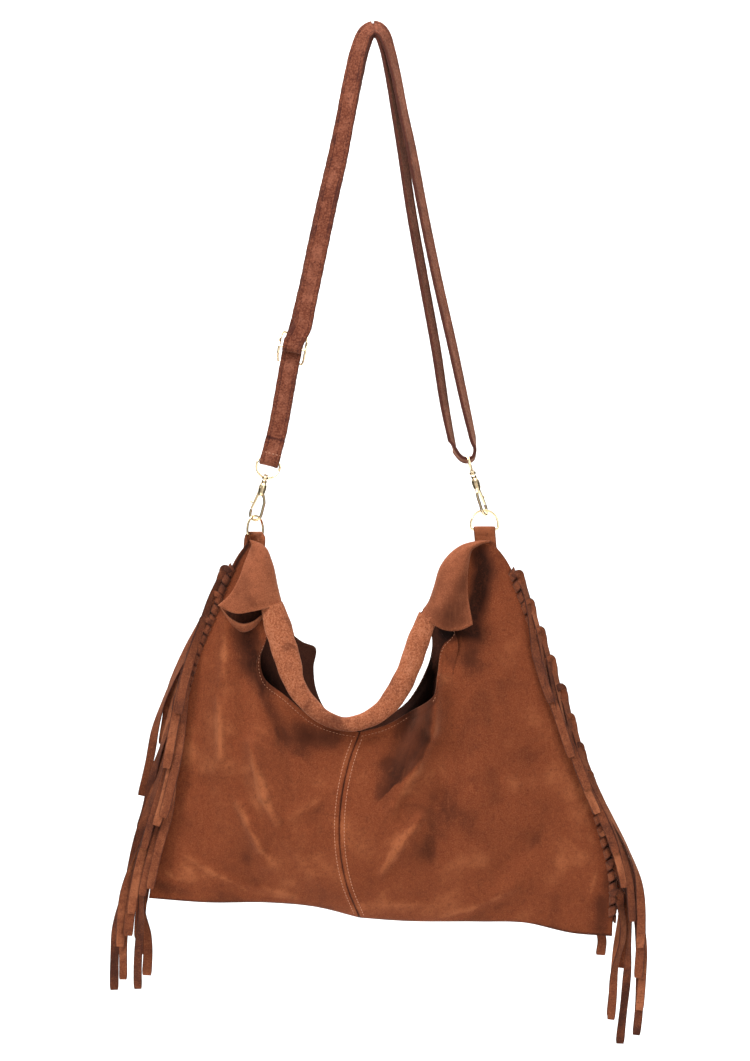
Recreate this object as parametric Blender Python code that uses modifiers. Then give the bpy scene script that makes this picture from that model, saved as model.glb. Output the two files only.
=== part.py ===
"""Fringed suede shoulder bag, modelled as it hangs from the top of its adjustable strap.

Frame: the origin is the underside of the strap where it is hung up, +Z is up, the bag's front
faces -Y, and +X is to the right of someone who looks at the front. Blender units are metres.
The outlines below are in millimetres in that frame.
"""
from math import cos, pi, radians, sin

import bmesh
import bpy
import numpy as np
from mathutils import Matrix, Vector

for leftover in list(bpy.data.objects):
    bpy.data.objects.remove(leftover, do_unlink=True)

MM = 0.001

# Driving dimensions, in metres
SUEDE = 0.0016            # thickness of the bag's leather
CLEARANCE = 0.0004        # between pieces that lie against each other
BAG_HALF_DEPTH = 0.031    # how far the front bulges from the side seams
SEAM_HALF_GAP = 0.0013    # from the plane of the side seams to a panel's middle surface
ROLL_RADIUS = 0.0045      # of the roll where an ear folds over outwards
TAB_ROOM = 0.0024         # how far the panels part at the top of a side seam, for the ring tab
STRAP_WIDTH = 0.0195
STRAP_THICKNESS = 0.003
HANDLE_DEPTH = 0.012      # of the rolled handle, front to back
WIRE = 0.0025             # thickness of the wire of rings, eyes and slide
RING_WIDTH = 0.0272       # of a D-ring, between the middles of its wire
RING_HEIGHT = 0.019
TAB_WIDTH = 0.0215
TAB_DROP = 0.024          # from the D-ring's bar down to the end of its tab
EYE_WIDTH = 0.0232        # of a swivel eye, between the middles of its wire
EYE_DROP = 0.017          # from its bar to the middle of its boss
HOOK_REACH = 0.039        # from the boss to the ring that hangs in the hook
HOOK_BEND = 0.006         # radius of the hook's bend, to the middle of its wire
HOOK_WIRE = 0.0031
RING_PLAY = 0.0016        # between a D-ring's wire and the bottom of the hook
GATE_THICKNESS = 0.0021
POST_RADIUS = 0.0013
PIN_RADIUS = 0.0008
SLIDE_WIDTH = 0.0266      # of the strap's slide, between the middles of its side wires
SLIDE_HEIGHT = 0.029
THONG_WIDTH = 0.0045      # of the lacing down each side
THONG_THICKNESS = 0.0012
LACING_WAVES_PER_STRIP = 1
LACING_STANDS = 0.0036    # how far the lacing stands out from the edge of the seam
LACING_REACH = 0.0015     # how far it reaches in from that edge, on both faces
FRINGE_WIDTH = 0.0068
FRINGE_THICKNESS = 0.0015
FRINGE_STRIPS = 12        # on each side, each doubled over into two tails
SHINGLE_PITCH = 0.0023    # how far a tail lies outside the next one below it

# Outlines of the bag as it hangs, seen from the front: (x, z) in millimetres
LEFT_SEAM = [(-226, -858), (-220, -815), (-205, -746), (-194, -673), (-178, -612),
             (-162, -573), (-149, -539), (-136, -514), (-125, -500)]
RIGHT_SEAM = [(237, -896), (238, -840), (225, -784), (200, -709), (179, -644),
              (159, -589), (147, -556), (131, -520), (116, -501)]
CENTRE_SEAM = [(-15, -877), (-28, -843), (-35, -801), (-33, -755), (-26, -722), (-15, -691)]
LEFT_BASE = [(-226, -858), (-167, -862), (-105, -862), (-60, -866), (-15, -877)]
RIGHT_BASE = [(-15, -877), (25, -880), (105, -881), (148, -882), (199, -893), (237, -896)]
# The edge of each ear from its tab to the handle's end, then the mouth on to the centre seam
LEFT_RIDGE = [(-120, -501), (-112, -508), (-105, -529), (-100, -553), (-98, -567)]
RIGHT_RIDGE = [(107, -502), (96, -503), (78, -511), (63, -529), (57, -550), (53, -572)]
FRONT_LEFT_MOUTH = [(-98, -567), (-106, -600), (-112, -617), (-109, -637), (-89, -654),
                    (-55, -681), (-30, -689), (-15, -691)]
FRONT_RIGHT_MOUTH = [(53, -572), (68, -583), (74, -592), (63, -606), (59, -633), (56, -654),
                     (33, -671), (10, -684), (-15, -691)]
BACK_LEFT_MOUTH = [(-98, -567), (-86, -588), (-70, -603), (-58, -608), (-60, -628),
                   (-58, -650), (-45, -675), (-30, -684), (-15, -691)]
BACK_RIGHT_MOUTH = [(53, -572), (58, -586), (58, -604), (51, -627), (43, -646), (33, -664),
                    (12, -679), (-15, -691)]
# The flap of each ear: its side fold and its lower edge, both ending at its corner
LEFT_FLAP_SIDE = [(-122, -504), (-128.5, -520), (-136, -540), (-144, -554), (-156, -565)]
LEFT_FLAP_HEM = [(-98, -567), (-108, -567), (-122, -571), (-138, -573), (-156, -565)]
RIGHT_FLAP_SIDE = [(107, -503), (97, -509), (93, -524), (92, -550), (97, -584)]
RIGHT_FLAP_HEM = [(53, -572), (62, -582), (74, -589), (88, -588), (97, -584)]

# Folds of the hanging suede: from (x, z) to (x, z), half width and height, in millimetres
LEFT_FOLDS = [(-149, -580, -155, -720, 15, 8), (-121, -700, -100, -780, 16, 7),
              (-124, -600, -106, -640, 13, -5), (-124, -785, -108, -820, 13, 5),
              (-205, -835, -160, -845, 12, 5), (-60, -700, -45, -760, 16, -5),
              (-175, -640, -185, -740, 13, -5)]
RIGHT_FOLDS = [(61, -640, 54, -680, 13, 9), (54, -680, 26, -740, 17, 8),
               (104, -522, 106, -566, 12, -9), (46, -785, 25, -805, 15, 5),
               (138, -846, 60, -876, 14, 6), (207, -780, 219, -845, 13, 6),
               (110, -640, 120, -740, 26, 5), (80, -680, 70, -760, 20, -4)]

# The doubled run of the strap, from the slide over the top to the ring of the right hook:
# x, y, z, turn of the width from facing the front (degrees), spread of the two layers across
# their faces and stagger along their width (mm)
STRAP_RUN = [(-73.5, -3.2, -284, 0, 6.4, 3.2), (-69.8, -2.1, -266, 4, 4.0, 2.4),
             (-65.8, -1.8, -248, 6, 3.6, 2.0), (-57.5, -1.8, -208, 8, 3.6, 2.2),
             (-47.6, -1.8, -162, 10, 3.6, 2.1), (-37.1, -1.7, -116, 12, 3.6, 1.8),
             (-29.9, -1.6, -80, 16, 3.6, 1.0), (-20.6, -1.3, -33, 25, 3.6, 0.3),
             (-14.5, -0.8, -8, 33, 3.6, 0), (-7.5, -0.3, 7.5, 38, 3.6, 0),
             (0, 0, 11.3, 43, 3.6, 0), (6.5, 0, 6.5, 50, 4.0, 0), (12, 0, -8, 58, 4.6, 0),
             (17, 0, -30, 66, 6.2, 0), (24.6, 0, -72, 73, 7.8, 0), (30.7, 0, -104, 73, 9.8, 0),
             (42.1, 0, -171, 74, 12.8, 0), (55.2, 0, -239, 75, 14.8, 0),
             (69.5, 0, -309, 77, 18.2, 0), (80.6, 0, -369, 82, 21.6, 0),
             (87.2, 0, -400, 88, 21.8, 0)]
# The single run from the left hook's eye up to the slide: x, y, z
STRAP_DROP = [(-101.2, -1.7, -405), (-97.6, -0.2, -391), (-95.6, 0, -381), (-90.6, 0, -353),
              (-85.4, 0, -324), (-81.2, 0, -304)]

# The tails of the fringe hang along these lines: (x, z) in millimetres
LEFT_FALL = [(-139, -505), (-154, -533), (-168, -560), (-180, -590), (-190, -615),
             (-201, -650), (-209, -690), (-216, -725), (-226, -765), (-235, -805),
             (-240, -845), (-243, -880), (-245, -920), (-246, -970)]
RIGHT_FALL = [(130, -503), (146, -530), (156, -554), (166, -582), (177, -610), (188, -643),
              (200, -675), (211, -708), (224, -742), (237, -775), (247, -805), (252, -835),
              (254, -870), (253, -910), (250, -950), (246, -1000), (243, -1040)]
# Where each strip's front and back tails end, from the top strip down (mm)
LEFT_ENDS = [((-196, -673), (-190, -655)), ((-208, -727), (-214, -705)),
             ((-211, -776), (-235, -757)), ((-218, -784), (-226, -766)),
             ((-230, -807), (-236, -790)), ((-224, -847), (-240, -812)),
             ((-232, -854), (-246, -838)), ((-243, -872), (-233, -866)),
             ((-246, -894), (-238, -900)), ((-254, -905), (-235, -916)),
             ((-236, -947), (-262, -952)), ((-251, -938), (-229, -937))]
RIGHT_ENDS = [((176, -662), (182, -690)), ((196, -716), (190, -700)),
              ((212, -748), (206, -736)), ((222, -772), (228, -790)),
              ((240, -812), (236, -800)), ((248, -846), (240, -838)),
              ((256, -880), (246, -866)), ((264, -906), (250, -900)),
              ((262, -936), (248, -930)), ((263, -968), (236, -978)),
              ((260, -993), (246, -1006)), ((235, -978), (226, -916))]

# Where the hardware hangs (mm)
LEFT_EYE_BAR = (-105.5, 0, -421.5)
LEFT_PULL = (-0.254, 0, -0.967)      # the line of pull from the strap to the bag's ring
LEFT_EYE_ACROSS = (0.967, 0, -0.254)
LEFT_HOOK_LEG = (0.906, -0.35, -0.238)
LEFT_RING_ACROSS = (0.545, 0.839, 0)
RIGHT_EYE_BAR = (92.5, 0, -417)
RIGHT_PULL = (0.302, 0, -0.953)
RIGHT_EYE_ACROSS = (0, -1, 0)
RIGHT_HOOK_LEG = (-0.403, -0.906, -0.128)
RIGHT_RING_ACROSS = (1, 0, 0)
SLIDE_BAR = (-82.6, -6.4, -308)
SLIDE_UP = (0.178, 0, 0.984)

# How finely things are divided
PANEL_COLUMNS = 14
PANEL_ROWS = 15
EAR_COLUMNS = 5
FLAP_STEPS = 4
BACK_COLUMNS = 11
BACK_ROWS = 10
BACK_EAR_COLUMNS = 4
ARC_STEPS = 8
WIRE_SIDES = 2            # bevel resolution of wires: 8 sides

parts = bpy.data.collections.new("fringed_suede_bag")
bpy.context.scene.collection.children.link(parts)


def material(name, colour, roughness, metallic=0.0):
    made = bpy.data.materials.new(name)
    made.use_nodes = True
    shader = made.node_tree.nodes["Principled BSDF"]
    shader.inputs["Base Color"].default_value = (*colour, 1)
    shader.inputs["Roughness"].default_value = roughness
    shader.inputs["Metallic"].default_value = metallic
    return made


BAG_SUEDE = material("bag_suede", (0.25, 0.075, 0.024), 0.95)
STRAP_SUEDE = material("strap_suede", (0.21, 0.068, 0.033), 0.95)
FRINGE_SUEDE = material("fringe_suede", (0.2, 0.06, 0.025), 0.95)
PALE_GOLD = material("pale_gold", (0.86, 0.7, 0.42), 0.2, 1.0)


# Curves and sheets

def curve_at(points, fractions):
    """Points of a smooth curve through the given ones, at fractions of its length."""
    points = np.asarray(points, float)
    steps = np.linalg.norm(np.diff(points, axis=0), axis=1)
    along = np.concatenate([[0], np.cumsum(steps)])
    slopes = np.gradient(points, along, axis=0)
    where = np.clip(np.asarray(fractions, float), 0, 1) * along[-1]
    piece = np.clip(np.searchsorted(along, where, side="right") - 1, 0, len(steps) - 1)
    span = steps[piece][..., None]
    t = (where - along[piece])[..., None] / span
    start, end = points[piece], points[piece + 1]
    return ((2 * t**3 - 3 * t**2 + 1) * start + (t**3 - 2 * t**2 + t) * span * slopes[piece]
            + (3 * t**2 - 2 * t**3) * end + (t**3 - t**2) * span * slopes[piece + 1])


def length_of(points):
    return np.linalg.norm(np.diff(np.asarray(points, float), axis=0), axis=1).sum()


def smooth(value):
    value = np.clip(value, 0, 1)
    return value * value * (3 - 2 * value)


def finished(obj, finish):
    """Moves an object to the bag's collection, shades it smooth and gives it its finish."""
    for holder in list(obj.users_collection):
        holder.objects.unlink(obj)
    parts.objects.link(obj)
    obj.data.materials.clear()
    obj.data.materials.append(finish)
    if obj.type == "MESH":
        obj.data.shade_smooth()
        obj.data.set_sharp_from_angle(angle=radians(40))
    return obj


def sheet(name, points, faces, thickness, finish):
    """An open surface given its thickness, half to each side."""
    mesh = bpy.data.meshes.new(name)
    mesh.from_pydata([tuple(point) for point in points], [], faces)
    obj = bpy.data.objects.new(name, mesh)
    finished(obj, finish)
    wall = obj.modifiers.new("thickness", "SOLIDIFY")
    wall.thickness = thickness
    wall.offset = 0
    return obj


def ribbon(name, middles, across, width, thickness, finish):
    """A flat strip along its middle line, whose width points across at each station."""
    middles = np.asarray(middles, float)
    across = np.asarray(across, float)
    across = across / np.linalg.norm(across, axis=1)[:, None] * width / 2
    points = np.concatenate([middles - across, middles + across])
    count = len(middles)
    faces = [(i, i + 1, count + i + 1, count + i) for i in range(count - 1)]
    return sheet(name, points, faces, thickness, finish)


# Panels: the four suede panels of the bag, with the ears folded over outwards

def patch(lower, upper, first, last, u, v):
    """A surface between four curves, each a function of a fraction, in the plane of the seams."""
    u, v = u[..., None], v[..., None]
    corners = ((1 - u) * (1 - v) * lower(0.0) + u * (1 - v) * lower(1.0)
               + (1 - u) * v * upper(0.0) + u * v * upper(1.0))
    flat_u, flat_v = u[..., 0], v[..., 0]
    return ((1 - v) * lower(flat_u) + v * upper(flat_u)
            + (1 - u) * first(flat_v) + u * last(flat_v) - corners)


def outline(points):
    return lambda fraction: curve_at(points, fraction)


def fold_height(flat, folds):
    """Height of the folds at points of the panel, in millimetres."""
    height = np.zeros(flat.shape[:-1])
    for x0, z0, x1, z1, half_width, rise in folds:
        start, run = np.array([x0, z0]), np.array([x1 - x0, z1 - z0])
        along = np.clip(((flat - start) @ run) / (run @ run), 0, 1)
        away = np.linalg.norm(flat - start - along[..., None] * run, axis=-1)
        height += rise * np.exp(-(away / half_width) ** 2)
    return height


def panel_surface(side_seam, base, ridge, mouth, folds, ear_share):
    """A function of (u, v): u from the side seam to the centre seam, v from base to mouth."""
    base_curve = outline(base if base[0] == side_seam[0] else base[::-1])

    def top(u):
        u = np.asarray(u, float)
        on_ridge = curve_at(ridge, np.clip(u / ear_share, 0, 1))
        on_mouth = curve_at(mouth, np.clip((u - ear_share) / (1 - ear_share), 0, 1))
        return np.where((u < ear_share)[..., None], on_ridge, on_mouth)

    def surface(u, v):
        flat = patch(base_curve, top, outline(side_seam), outline(CENTRE_SEAM), u, v)
        rise = np.sin(pi / 2 * np.clip(v / 0.45, 0, 1)) ** 0.7 * (1 - 0.35 * smooth(2 * v - 1))
        swell = BAG_HALF_DEPTH * np.sin(pi / 2 * u) ** 0.8 * rise
        edge = np.clip(4 * u * (1 - 0.25 * u), 0, 1) * np.clip(6 * v, 0, 1)
        relief = edge * np.clip(6 * (1 - u), 0, 1) * fold_height(flat, folds) * MM
        tab_room = TAB_ROOM * smooth((v - 0.86) / 0.1) * (1 - smooth(u / 0.3))
        depth = SEAM_HALF_GAP + tab_room + np.maximum(swell + relief, 0.15 * swell)
        return flat * MM, depth

    return surface


def facing(flat, depth, side):
    """Points in space of a panel on the front (side -1) or on the back (side 1)."""
    return np.stack([flat[..., 0], side * depth, flat[..., 1]], axis=-1)


def panel(name, surface, flap_side, flap_hem, side, columns, rows, ear_columns):
    """One panel: its body, then the roll over its ear and the flap that hangs from the roll."""
    u, v = np.meshgrid(np.linspace(0, 1, columns + 1), np.linspace(0, 1, rows + 1))
    flat, depth = surface(u, v)
    left = flat[0, 0, 0] < flat[0, -1, 0]
    # The two centre seams stop short of each other by the clearance
    inwards = -1 if left else 1
    flat[:, -1, 0] += inwards * CLEARANCE / 2
    points = list(facing(flat, depth, side).reshape(-1, 3))
    faces = [(row * (columns + 1) + col, row * (columns + 1) + col + 1,
              (row + 1) * (columns + 1) + col + 1, (row + 1) * (columns + 1) + col)
             for row in range(rows) for col in range(columns)]

    ridge = flat[-1, :ear_columns + 1]
    ridge_depth = depth[-1, :ear_columns + 1]
    outwards = np.gradient(ridge, axis=0) @ np.array([[0, 1], [-1, 0]])
    outwards *= (1 if left else -1) / np.linalg.norm(outwards, axis=1)[:, None]
    share = np.linspace(0, 1, ear_columns + 1)
    roll = ROLL_RADIUS * (0.35 + 0.65 * smooth(share * 2))
    # The roll reaches out over the ridge, but not at the ring tab
    reach = roll * np.clip(4 * share, 0, 1)
    side_curve = curve_at(flap_side, share) * MM
    previous = [rows * (columns + 1) + col for col in range(ear_columns + 1)]
    steps = [("roll", angle) for angle in (pi / 4, pi / 2, 3 * pi / 4)]
    steps += [("flap", step / FLAP_STEPS) for step in range(FLAP_STEPS + 1)]
    for kind, where in steps:
        current = []
        for k in range(ear_columns + 1):
            if kind == "roll":
                place = ridge[k] + outwards[k] * reach[k] * sin(where)
                proud = ridge_depth[k] + roll[k] * (1 - cos(where))
            else:
                hem = curve_at(flap_hem, where) * MM
                straight = ridge[k] * (1 - where) + side_curve[k] * where
                last = ridge[-1] * (1 - where) + side_curve[-1] * where
                place = straight + (hem - last) * share[k] ** 2
                crown = 0.009 * share[k] ** 0.7 * sin(pi * where ** 0.8)
                fall = 0.004 * share[k] * where
                proud = ridge_depth[k] + 2 * roll[k] + crown + fall
            current.append(len(points))
            points.append(facing(place, proud, side))
        faces += [(previous[k], previous[k + 1], current[k + 1], current[k])
                  for k in range(ear_columns)]
        previous = current
    if (side < 0) != left:
        faces = [face[::-1] for face in faces]
    return sheet(name, points, faces, SUEDE, BAG_SUEDE)


front_left = panel_surface(LEFT_SEAM, LEFT_BASE, LEFT_RIDGE, FRONT_LEFT_MOUTH, LEFT_FOLDS,
                           EAR_COLUMNS / PANEL_COLUMNS)
front_right = panel_surface(RIGHT_SEAM, RIGHT_BASE, RIGHT_RIDGE, FRONT_RIGHT_MOUTH, RIGHT_FOLDS,
                            EAR_COLUMNS / PANEL_COLUMNS)
back_left = panel_surface(LEFT_SEAM, LEFT_BASE, LEFT_RIDGE, BACK_LEFT_MOUTH, LEFT_FOLDS,
                          BACK_EAR_COLUMNS / BACK_COLUMNS)
back_right = panel_surface(RIGHT_SEAM, RIGHT_BASE, RIGHT_RIDGE, BACK_RIGHT_MOUTH, RIGHT_FOLDS,
                           BACK_EAR_COLUMNS / BACK_COLUMNS)
panel("front_left_panel", front_left, LEFT_FLAP_SIDE, LEFT_FLAP_HEM, -1,
      PANEL_COLUMNS, PANEL_ROWS, EAR_COLUMNS)
panel("front_right_panel", front_right, RIGHT_FLAP_SIDE, RIGHT_FLAP_HEM, -1,
      PANEL_COLUMNS, PANEL_ROWS, EAR_COLUMNS)
panel("back_left_panel", back_left, LEFT_FLAP_SIDE, LEFT_FLAP_HEM, 1,
      BACK_COLUMNS, BACK_ROWS, BACK_EAR_COLUMNS)
panel("back_right_panel", back_right, RIGHT_FLAP_SIDE, RIGHT_FLAP_HEM, 1,
      BACK_COLUMNS, BACK_ROWS, BACK_EAR_COLUMNS)


# Handles: rolled suede, flat and wide at their sewn ends and slimmer at the bottom of the loop

# x, z and width as seen from the front, and depth of the middle in front of the side seams (mm)
HANDLE_LINE = [(-102, -568.5, 22, 24.5), (-98, -581, 25, 25), (-92, -602, 26, 26.5),
               (-86, -621, 24, 28.5), (-81, -639, 20, 30), (-75, -651, 18, 31),
               (-66, -663, 16, 32), (-53, -676, 14, 33), (-30, -684.5, 13, 33),
               (-1, -676, 16, 32.5), (11, -665, 18, 32), (22, -649, 19, 30.5),
               (33, -626, 19.5, 28.5), (41, -604, 20, 27), (47, -588, 20, 26),
               (51, -580, 19, 26)]
HANDLE_SECTIONS = 24
HANDLE_SIDES = 8


def handle(name, side, drop):
    """A closed tube of oval sections, lofted along the handle's line."""
    line = curve_at(HANDLE_LINE, np.linspace(0, 1, HANDLE_SECTIONS))
    middles = facing(line[:, :2] * MM, line[:, 3] * MM, side)
    middles[:, 2] -= drop * np.sin(np.linspace(0, pi, HANDLE_SECTIONS))
    shell = bmesh.new()
    rings = []
    for index, middle in enumerate(middles):
        before, after = middles[max(index - 1, 0)], middles[min(index + 1, len(middles) - 1)]
        along = after - before
        across = Vector((along[2], 0, -along[0])).normalized() * line[index, 2] * MM / 2
        deep = Vector((0, HANDLE_DEPTH / 2, 0))
        angles = [2 * pi * k / HANDLE_SIDES for k in range(HANDLE_SIDES)]
        rings.append([shell.verts.new(Vector(middle) + across * cos(a) + deep * sin(a))
                      for a in angles])
    for near, far in zip(rings, rings[1:]):
        for k in range(HANDLE_SIDES):
            after = (k + 1) % HANDLE_SIDES
            shell.faces.new((near[k], near[after], far[after], far[k]))
    shell.faces.new(rings[0])
    shell.faces.new(rings[-1])
    bmesh.ops.recalc_face_normals(shell, faces=shell.faces)
    mesh = bpy.data.meshes.new(name)
    shell.to_mesh(mesh)
    shell.free()
    return finished(bpy.data.objects.new(name, mesh), BAG_SUEDE)


handle("front_handle", -1, 0.0)
handle("back_handle", 1, 0.004)


# Strap: one long strip, sewn round the left hook's eye, doubled from the slide to the right hook

def unit(vector):
    return Vector(vector).normalized()


def strap_stations():
    """Middles and width directions along the strip, from its sewn end to the slide again."""
    run = np.asarray(STRAP_RUN, float)
    fractions = np.linspace(0, 1, 34)
    run = curve_at(run, fractions)
    along = np.gradient(run[:, :3], axis=0)
    along /= np.linalg.norm(along, axis=1)[:, None]
    inner = np.stack([along[:, 2], 0 * along[:, 0], -along[:, 0]], axis=1)
    inner /= np.linalg.norm(inner, axis=1)[:, None]
    forward = np.array([[0.0, -1.0, 0.0]])
    turn = np.radians(run[:, 3])[:, None]
    widths = inner * np.cos(turn) + forward * np.sin(turn)
    faces = forward * np.cos(turn) - inner * np.sin(turn)
    half_spread = faces * run[:, 4:5] / 2
    half_stagger = inner * run[:, 5:6] / 2
    outer = run[:, :3] + half_spread + half_stagger
    inner_layer = run[:, :3] - half_spread - half_stagger

    # The fold round the left eye's bar: the tail goes up behind, the strap up in front
    reach = WIRE / 2 + CLEARANCE + STRAP_THICKNESS / 2
    bar, pull = np.array(LEFT_EYE_BAR), np.array(LEFT_PULL)
    back = np.array([0, reach / MM, 0])
    fold = [bar - pull * 24 + [0, 3.5, 0], bar - pull * 14 + [0, 3.2, 0], bar - pull * 3 + back]
    for angle in np.linspace(0, pi, 5):
        fold.append(bar + pull * sin(angle) * reach / MM + back * cos(angle))
    fold.append(bar - pull * 3 - back)
    fold = np.array(fold)
    fold_width = np.tile(LEFT_EYE_ACROSS, (len(fold), 1))
    drop = np.array(STRAP_DROP)
    drop_width = np.tile((SLIDE_UP[2], 0, -SLIDE_UP[0]), (len(drop), 1))

    # The bight under the right eye's bar
    bar = np.array(RIGHT_EYE_BAR)
    bight = [(84.5, 0, -412), (89, 0, bar[2] - 0.8 * reach / MM),
             (bar[0] + 0.6, 0, bar[2] - reach / MM), (96.5, 0, bar[2] - 0.6 * reach / MM),
             (99.6, 0, -409.5)]
    bight_width = np.tile((0, -1, 0), (len(bight), 1))
    middles = np.concatenate([fold, drop, inner_layer, bight, outer[::-1]])
    across = np.concatenate([fold_width, drop_width, widths, bight_width, widths[::-1]])
    return middles * MM, across


strap_middles, strap_across = strap_stations()
slide_bar, slide_up = Vector(SLIDE_BAR) * MM, unit(SLIDE_UP)
slide_across = unit((SLIDE_UP[2], 0, -SLIDE_UP[0]))
# The return layer ends just above the loop that is sewn round the slide's middle bar, with both
# ends to the right of the bar's middle and before it
LOOP_RISE = 0.0115
LOOP_SHIFT = Vector((0.003, -0.00265, 0))
RETURN_SHIFT = Vector((0.003, -0.0024, 0))
return_end = slide_bar + slide_up * (LOOP_RISE + CLEARANCE) + RETURN_SHIFT
strap_middles = np.concatenate([strap_middles, [tuple(return_end)]])
strap_across = np.concatenate([strap_across, [tuple(slide_across)]])
ribbon("shoulder_strap", strap_middles, strap_across, STRAP_WIDTH, STRAP_THICKNESS, STRAP_SUEDE)


def slide_loop():
    """The strap's other end, folded round the middle bar of the slide."""
    reach = WIRE / 2 + CLEARANCE + STRAP_THICKNESS / 2
    back = Vector((0, reach, 0))
    stations = [slide_up * 0.008 + back, slide_up * 0.003 + back]
    for angle in np.linspace(0, pi, 6):
        stations.append(-slide_up * sin(angle) * reach + back * cos(angle))
    stations.append(slide_up * 0.005 - back)
    stations.append(slide_up * LOOP_RISE + LOOP_SHIFT)
    middles = [slide_bar + station for station in stations]
    return ribbon("strap_end_loop", middles, [slide_across] * len(middles), STRAP_WIDTH,
                  STRAP_THICKNESS, STRAP_SUEDE)


slide_loop()


# Wire shapes and turned pieces

def wire(name, path, thickness, closed):
    """A bent wire as a curve object, converted to a mesh so that it can be cut and joined."""
    data = bpy.data.curves.new(name, "CURVE")
    data.dimensions = "3D"
    data.bevel_depth = thickness / 2
    data.bevel_resolution = WIRE_SIDES
    data.use_fill_caps = True
    line = data.splines.new("POLY")
    line.points.add(len(path) - 1)
    for point, place in zip(line.points, path):
        point.co = (*place, 1)
    line.use_cyclic_u = closed
    drawn = bpy.data.objects.new(name + "_line", data)
    bpy.context.scene.collection.objects.link(drawn)
    graph = bpy.context.evaluated_depsgraph_get()
    mesh = bpy.data.meshes.new_from_object(drawn.evaluated_get(graph))
    welded = bmesh.new()
    welded.from_mesh(mesh)
    bmesh.ops.remove_doubles(welded, verts=welded.verts, dist=1e-5)
    bmesh.ops.recalc_face_normals(welded, faces=welded.faces)
    welded.to_mesh(mesh)
    welded.free()
    bpy.data.objects.remove(drawn, do_unlink=True)
    obj = bpy.data.objects.new(name, mesh)
    return finished(obj, PALE_GOLD)


def turned(name, radii, sides=16, lying=False):
    """A turned piece from (radius, height) pairs, upright or lying along Y."""
    shape = bmesh.new()
    rings = []
    for radius, height in radii:
        angles = [2 * pi * k / sides for k in range(sides)]
        rings.append([shape.verts.new((radius * cos(a), radius * sin(a), height))
                      for a in angles])
    for near, far in zip(rings, rings[1:]):
        for k in range(sides):
            shape.faces.new((near[k], near[(k + 1) % sides], far[(k + 1) % sides], far[k]))
    shape.faces.new(rings[0])
    shape.faces.new(rings[-1])
    if lying:
        bmesh.ops.rotate(shape, verts=shape.verts, matrix=Matrix.Rotation(pi / 2, 3, "X"))
    bmesh.ops.recalc_face_normals(shape, faces=shape.faces)
    mesh = bpy.data.meshes.new(name)
    shape.to_mesh(mesh)
    shape.free()
    return finished(bpy.data.objects.new(name, mesh), PALE_GOLD)


def block(name, low, high):
    """A box between two corners."""
    shape = bmesh.new()
    low, high = Vector(low), Vector(high)
    made = bmesh.ops.create_cube(shape, size=1)
    for vert in made["verts"]:
        vert.co = Vector((vert.co[k] + 0.5) * (high[k] - low[k]) + low[k] for k in range(3))
    mesh = bpy.data.meshes.new(name)
    shape.to_mesh(mesh)
    shape.free()
    return finished(bpy.data.objects.new(name, mesh), PALE_GOLD)


def moved(obj, place):
    for vert in obj.data.vertices:
        vert.co += Vector(place)
    return obj


def combine(target, tools, operation):
    """Applies Booleans to the target and removes the shapes that it used up."""
    for tool in tools:
        step = target.modifiers.new("join", "BOOLEAN")
        step.operation = operation
        step.solver = "EXACT"
        step.object = tool
        graph = bpy.context.evaluated_depsgraph_get()
        mesh = bpy.data.meshes.new_from_object(target.evaluated_get(graph))
        target.modifiers.remove(step)
        target.data = mesh
        bpy.data.objects.remove(tool, do_unlink=True)
    target.data.shade_smooth()
    target.data.set_sharp_from_angle(angle=radians(40))
    return target


def stand(obj, origin, x_axis, z_axis):
    """Places an object by its own origin and two of its axes."""
    z_axis = unit(z_axis)
    y_axis = z_axis.cross(unit(x_axis)).normalized()
    x_axis = y_axis.cross(z_axis)
    turn = Matrix((x_axis, y_axis, z_axis)).transposed().to_4x4()
    obj.matrix_world = Matrix.Translation(origin) @ turn
    return obj


# Hardware

BOSS_RADIUS = 0.0034
BOSS_HALF_HEIGHT = 0.0016
BORE_RADIUS = POST_RADIUS + CLEARANCE


def swivel_eye(name):
    """A D of wire with its bar at the top, and a bored boss at the foot of its bow."""
    half = EYE_WIDTH / 2
    centre = EYE_DROP - half
    bow = [Vector((half * cos(a), 0, -centre - half * sin(a)))
           for a in np.linspace(0, pi, 2 * ARC_STEPS)]
    corner = 0.0024
    top = [Vector((-half, 0, -corner)), Vector((-half + 0.3 * corner, 0, -0.3 * corner)),
           Vector((-half + corner, 0, 0)), Vector((half - corner, 0, 0)),
           Vector((half - 0.3 * corner, 0, -0.3 * corner)), Vector((half, 0, -corner))]
    eye = wire(name, bow + top, WIRE, True)
    boss = turned(name + "_boss", [(BOSS_RADIUS - 0.0005, -BOSS_HALF_HEIGHT),
                                   (BOSS_RADIUS, -0.4 * BOSS_HALF_HEIGHT),
                                   (BOSS_RADIUS, 0.4 * BOSS_HALF_HEIGHT),
                                   (BOSS_RADIUS - 0.0005, BOSS_HALF_HEIGHT)])
    bore = turned(name + "_bore", [(BORE_RADIUS, -0.01), (BORE_RADIUS, 0.01)])
    combine(eye, [moved(boss, (0, 0, -EYE_DROP))], "UNION")
    return combine(eye, [moved(bore, (0, 0, -EYE_DROP))], "DIFFERENCE")


# The hook in its own frame: origin in the boss, +Z up along the pull, +X towards its long leg
PIVOT = Vector((-0.0012, 0, -0.0105))
BEND_BOTTOM = HOOK_REACH + WIRE / 2 + RING_PLAY + HOOK_WIRE / 2
BEND_CENTRE = BEND_BOTTOM - HOOK_BEND
TIP_RISE = 0.0038


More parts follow.
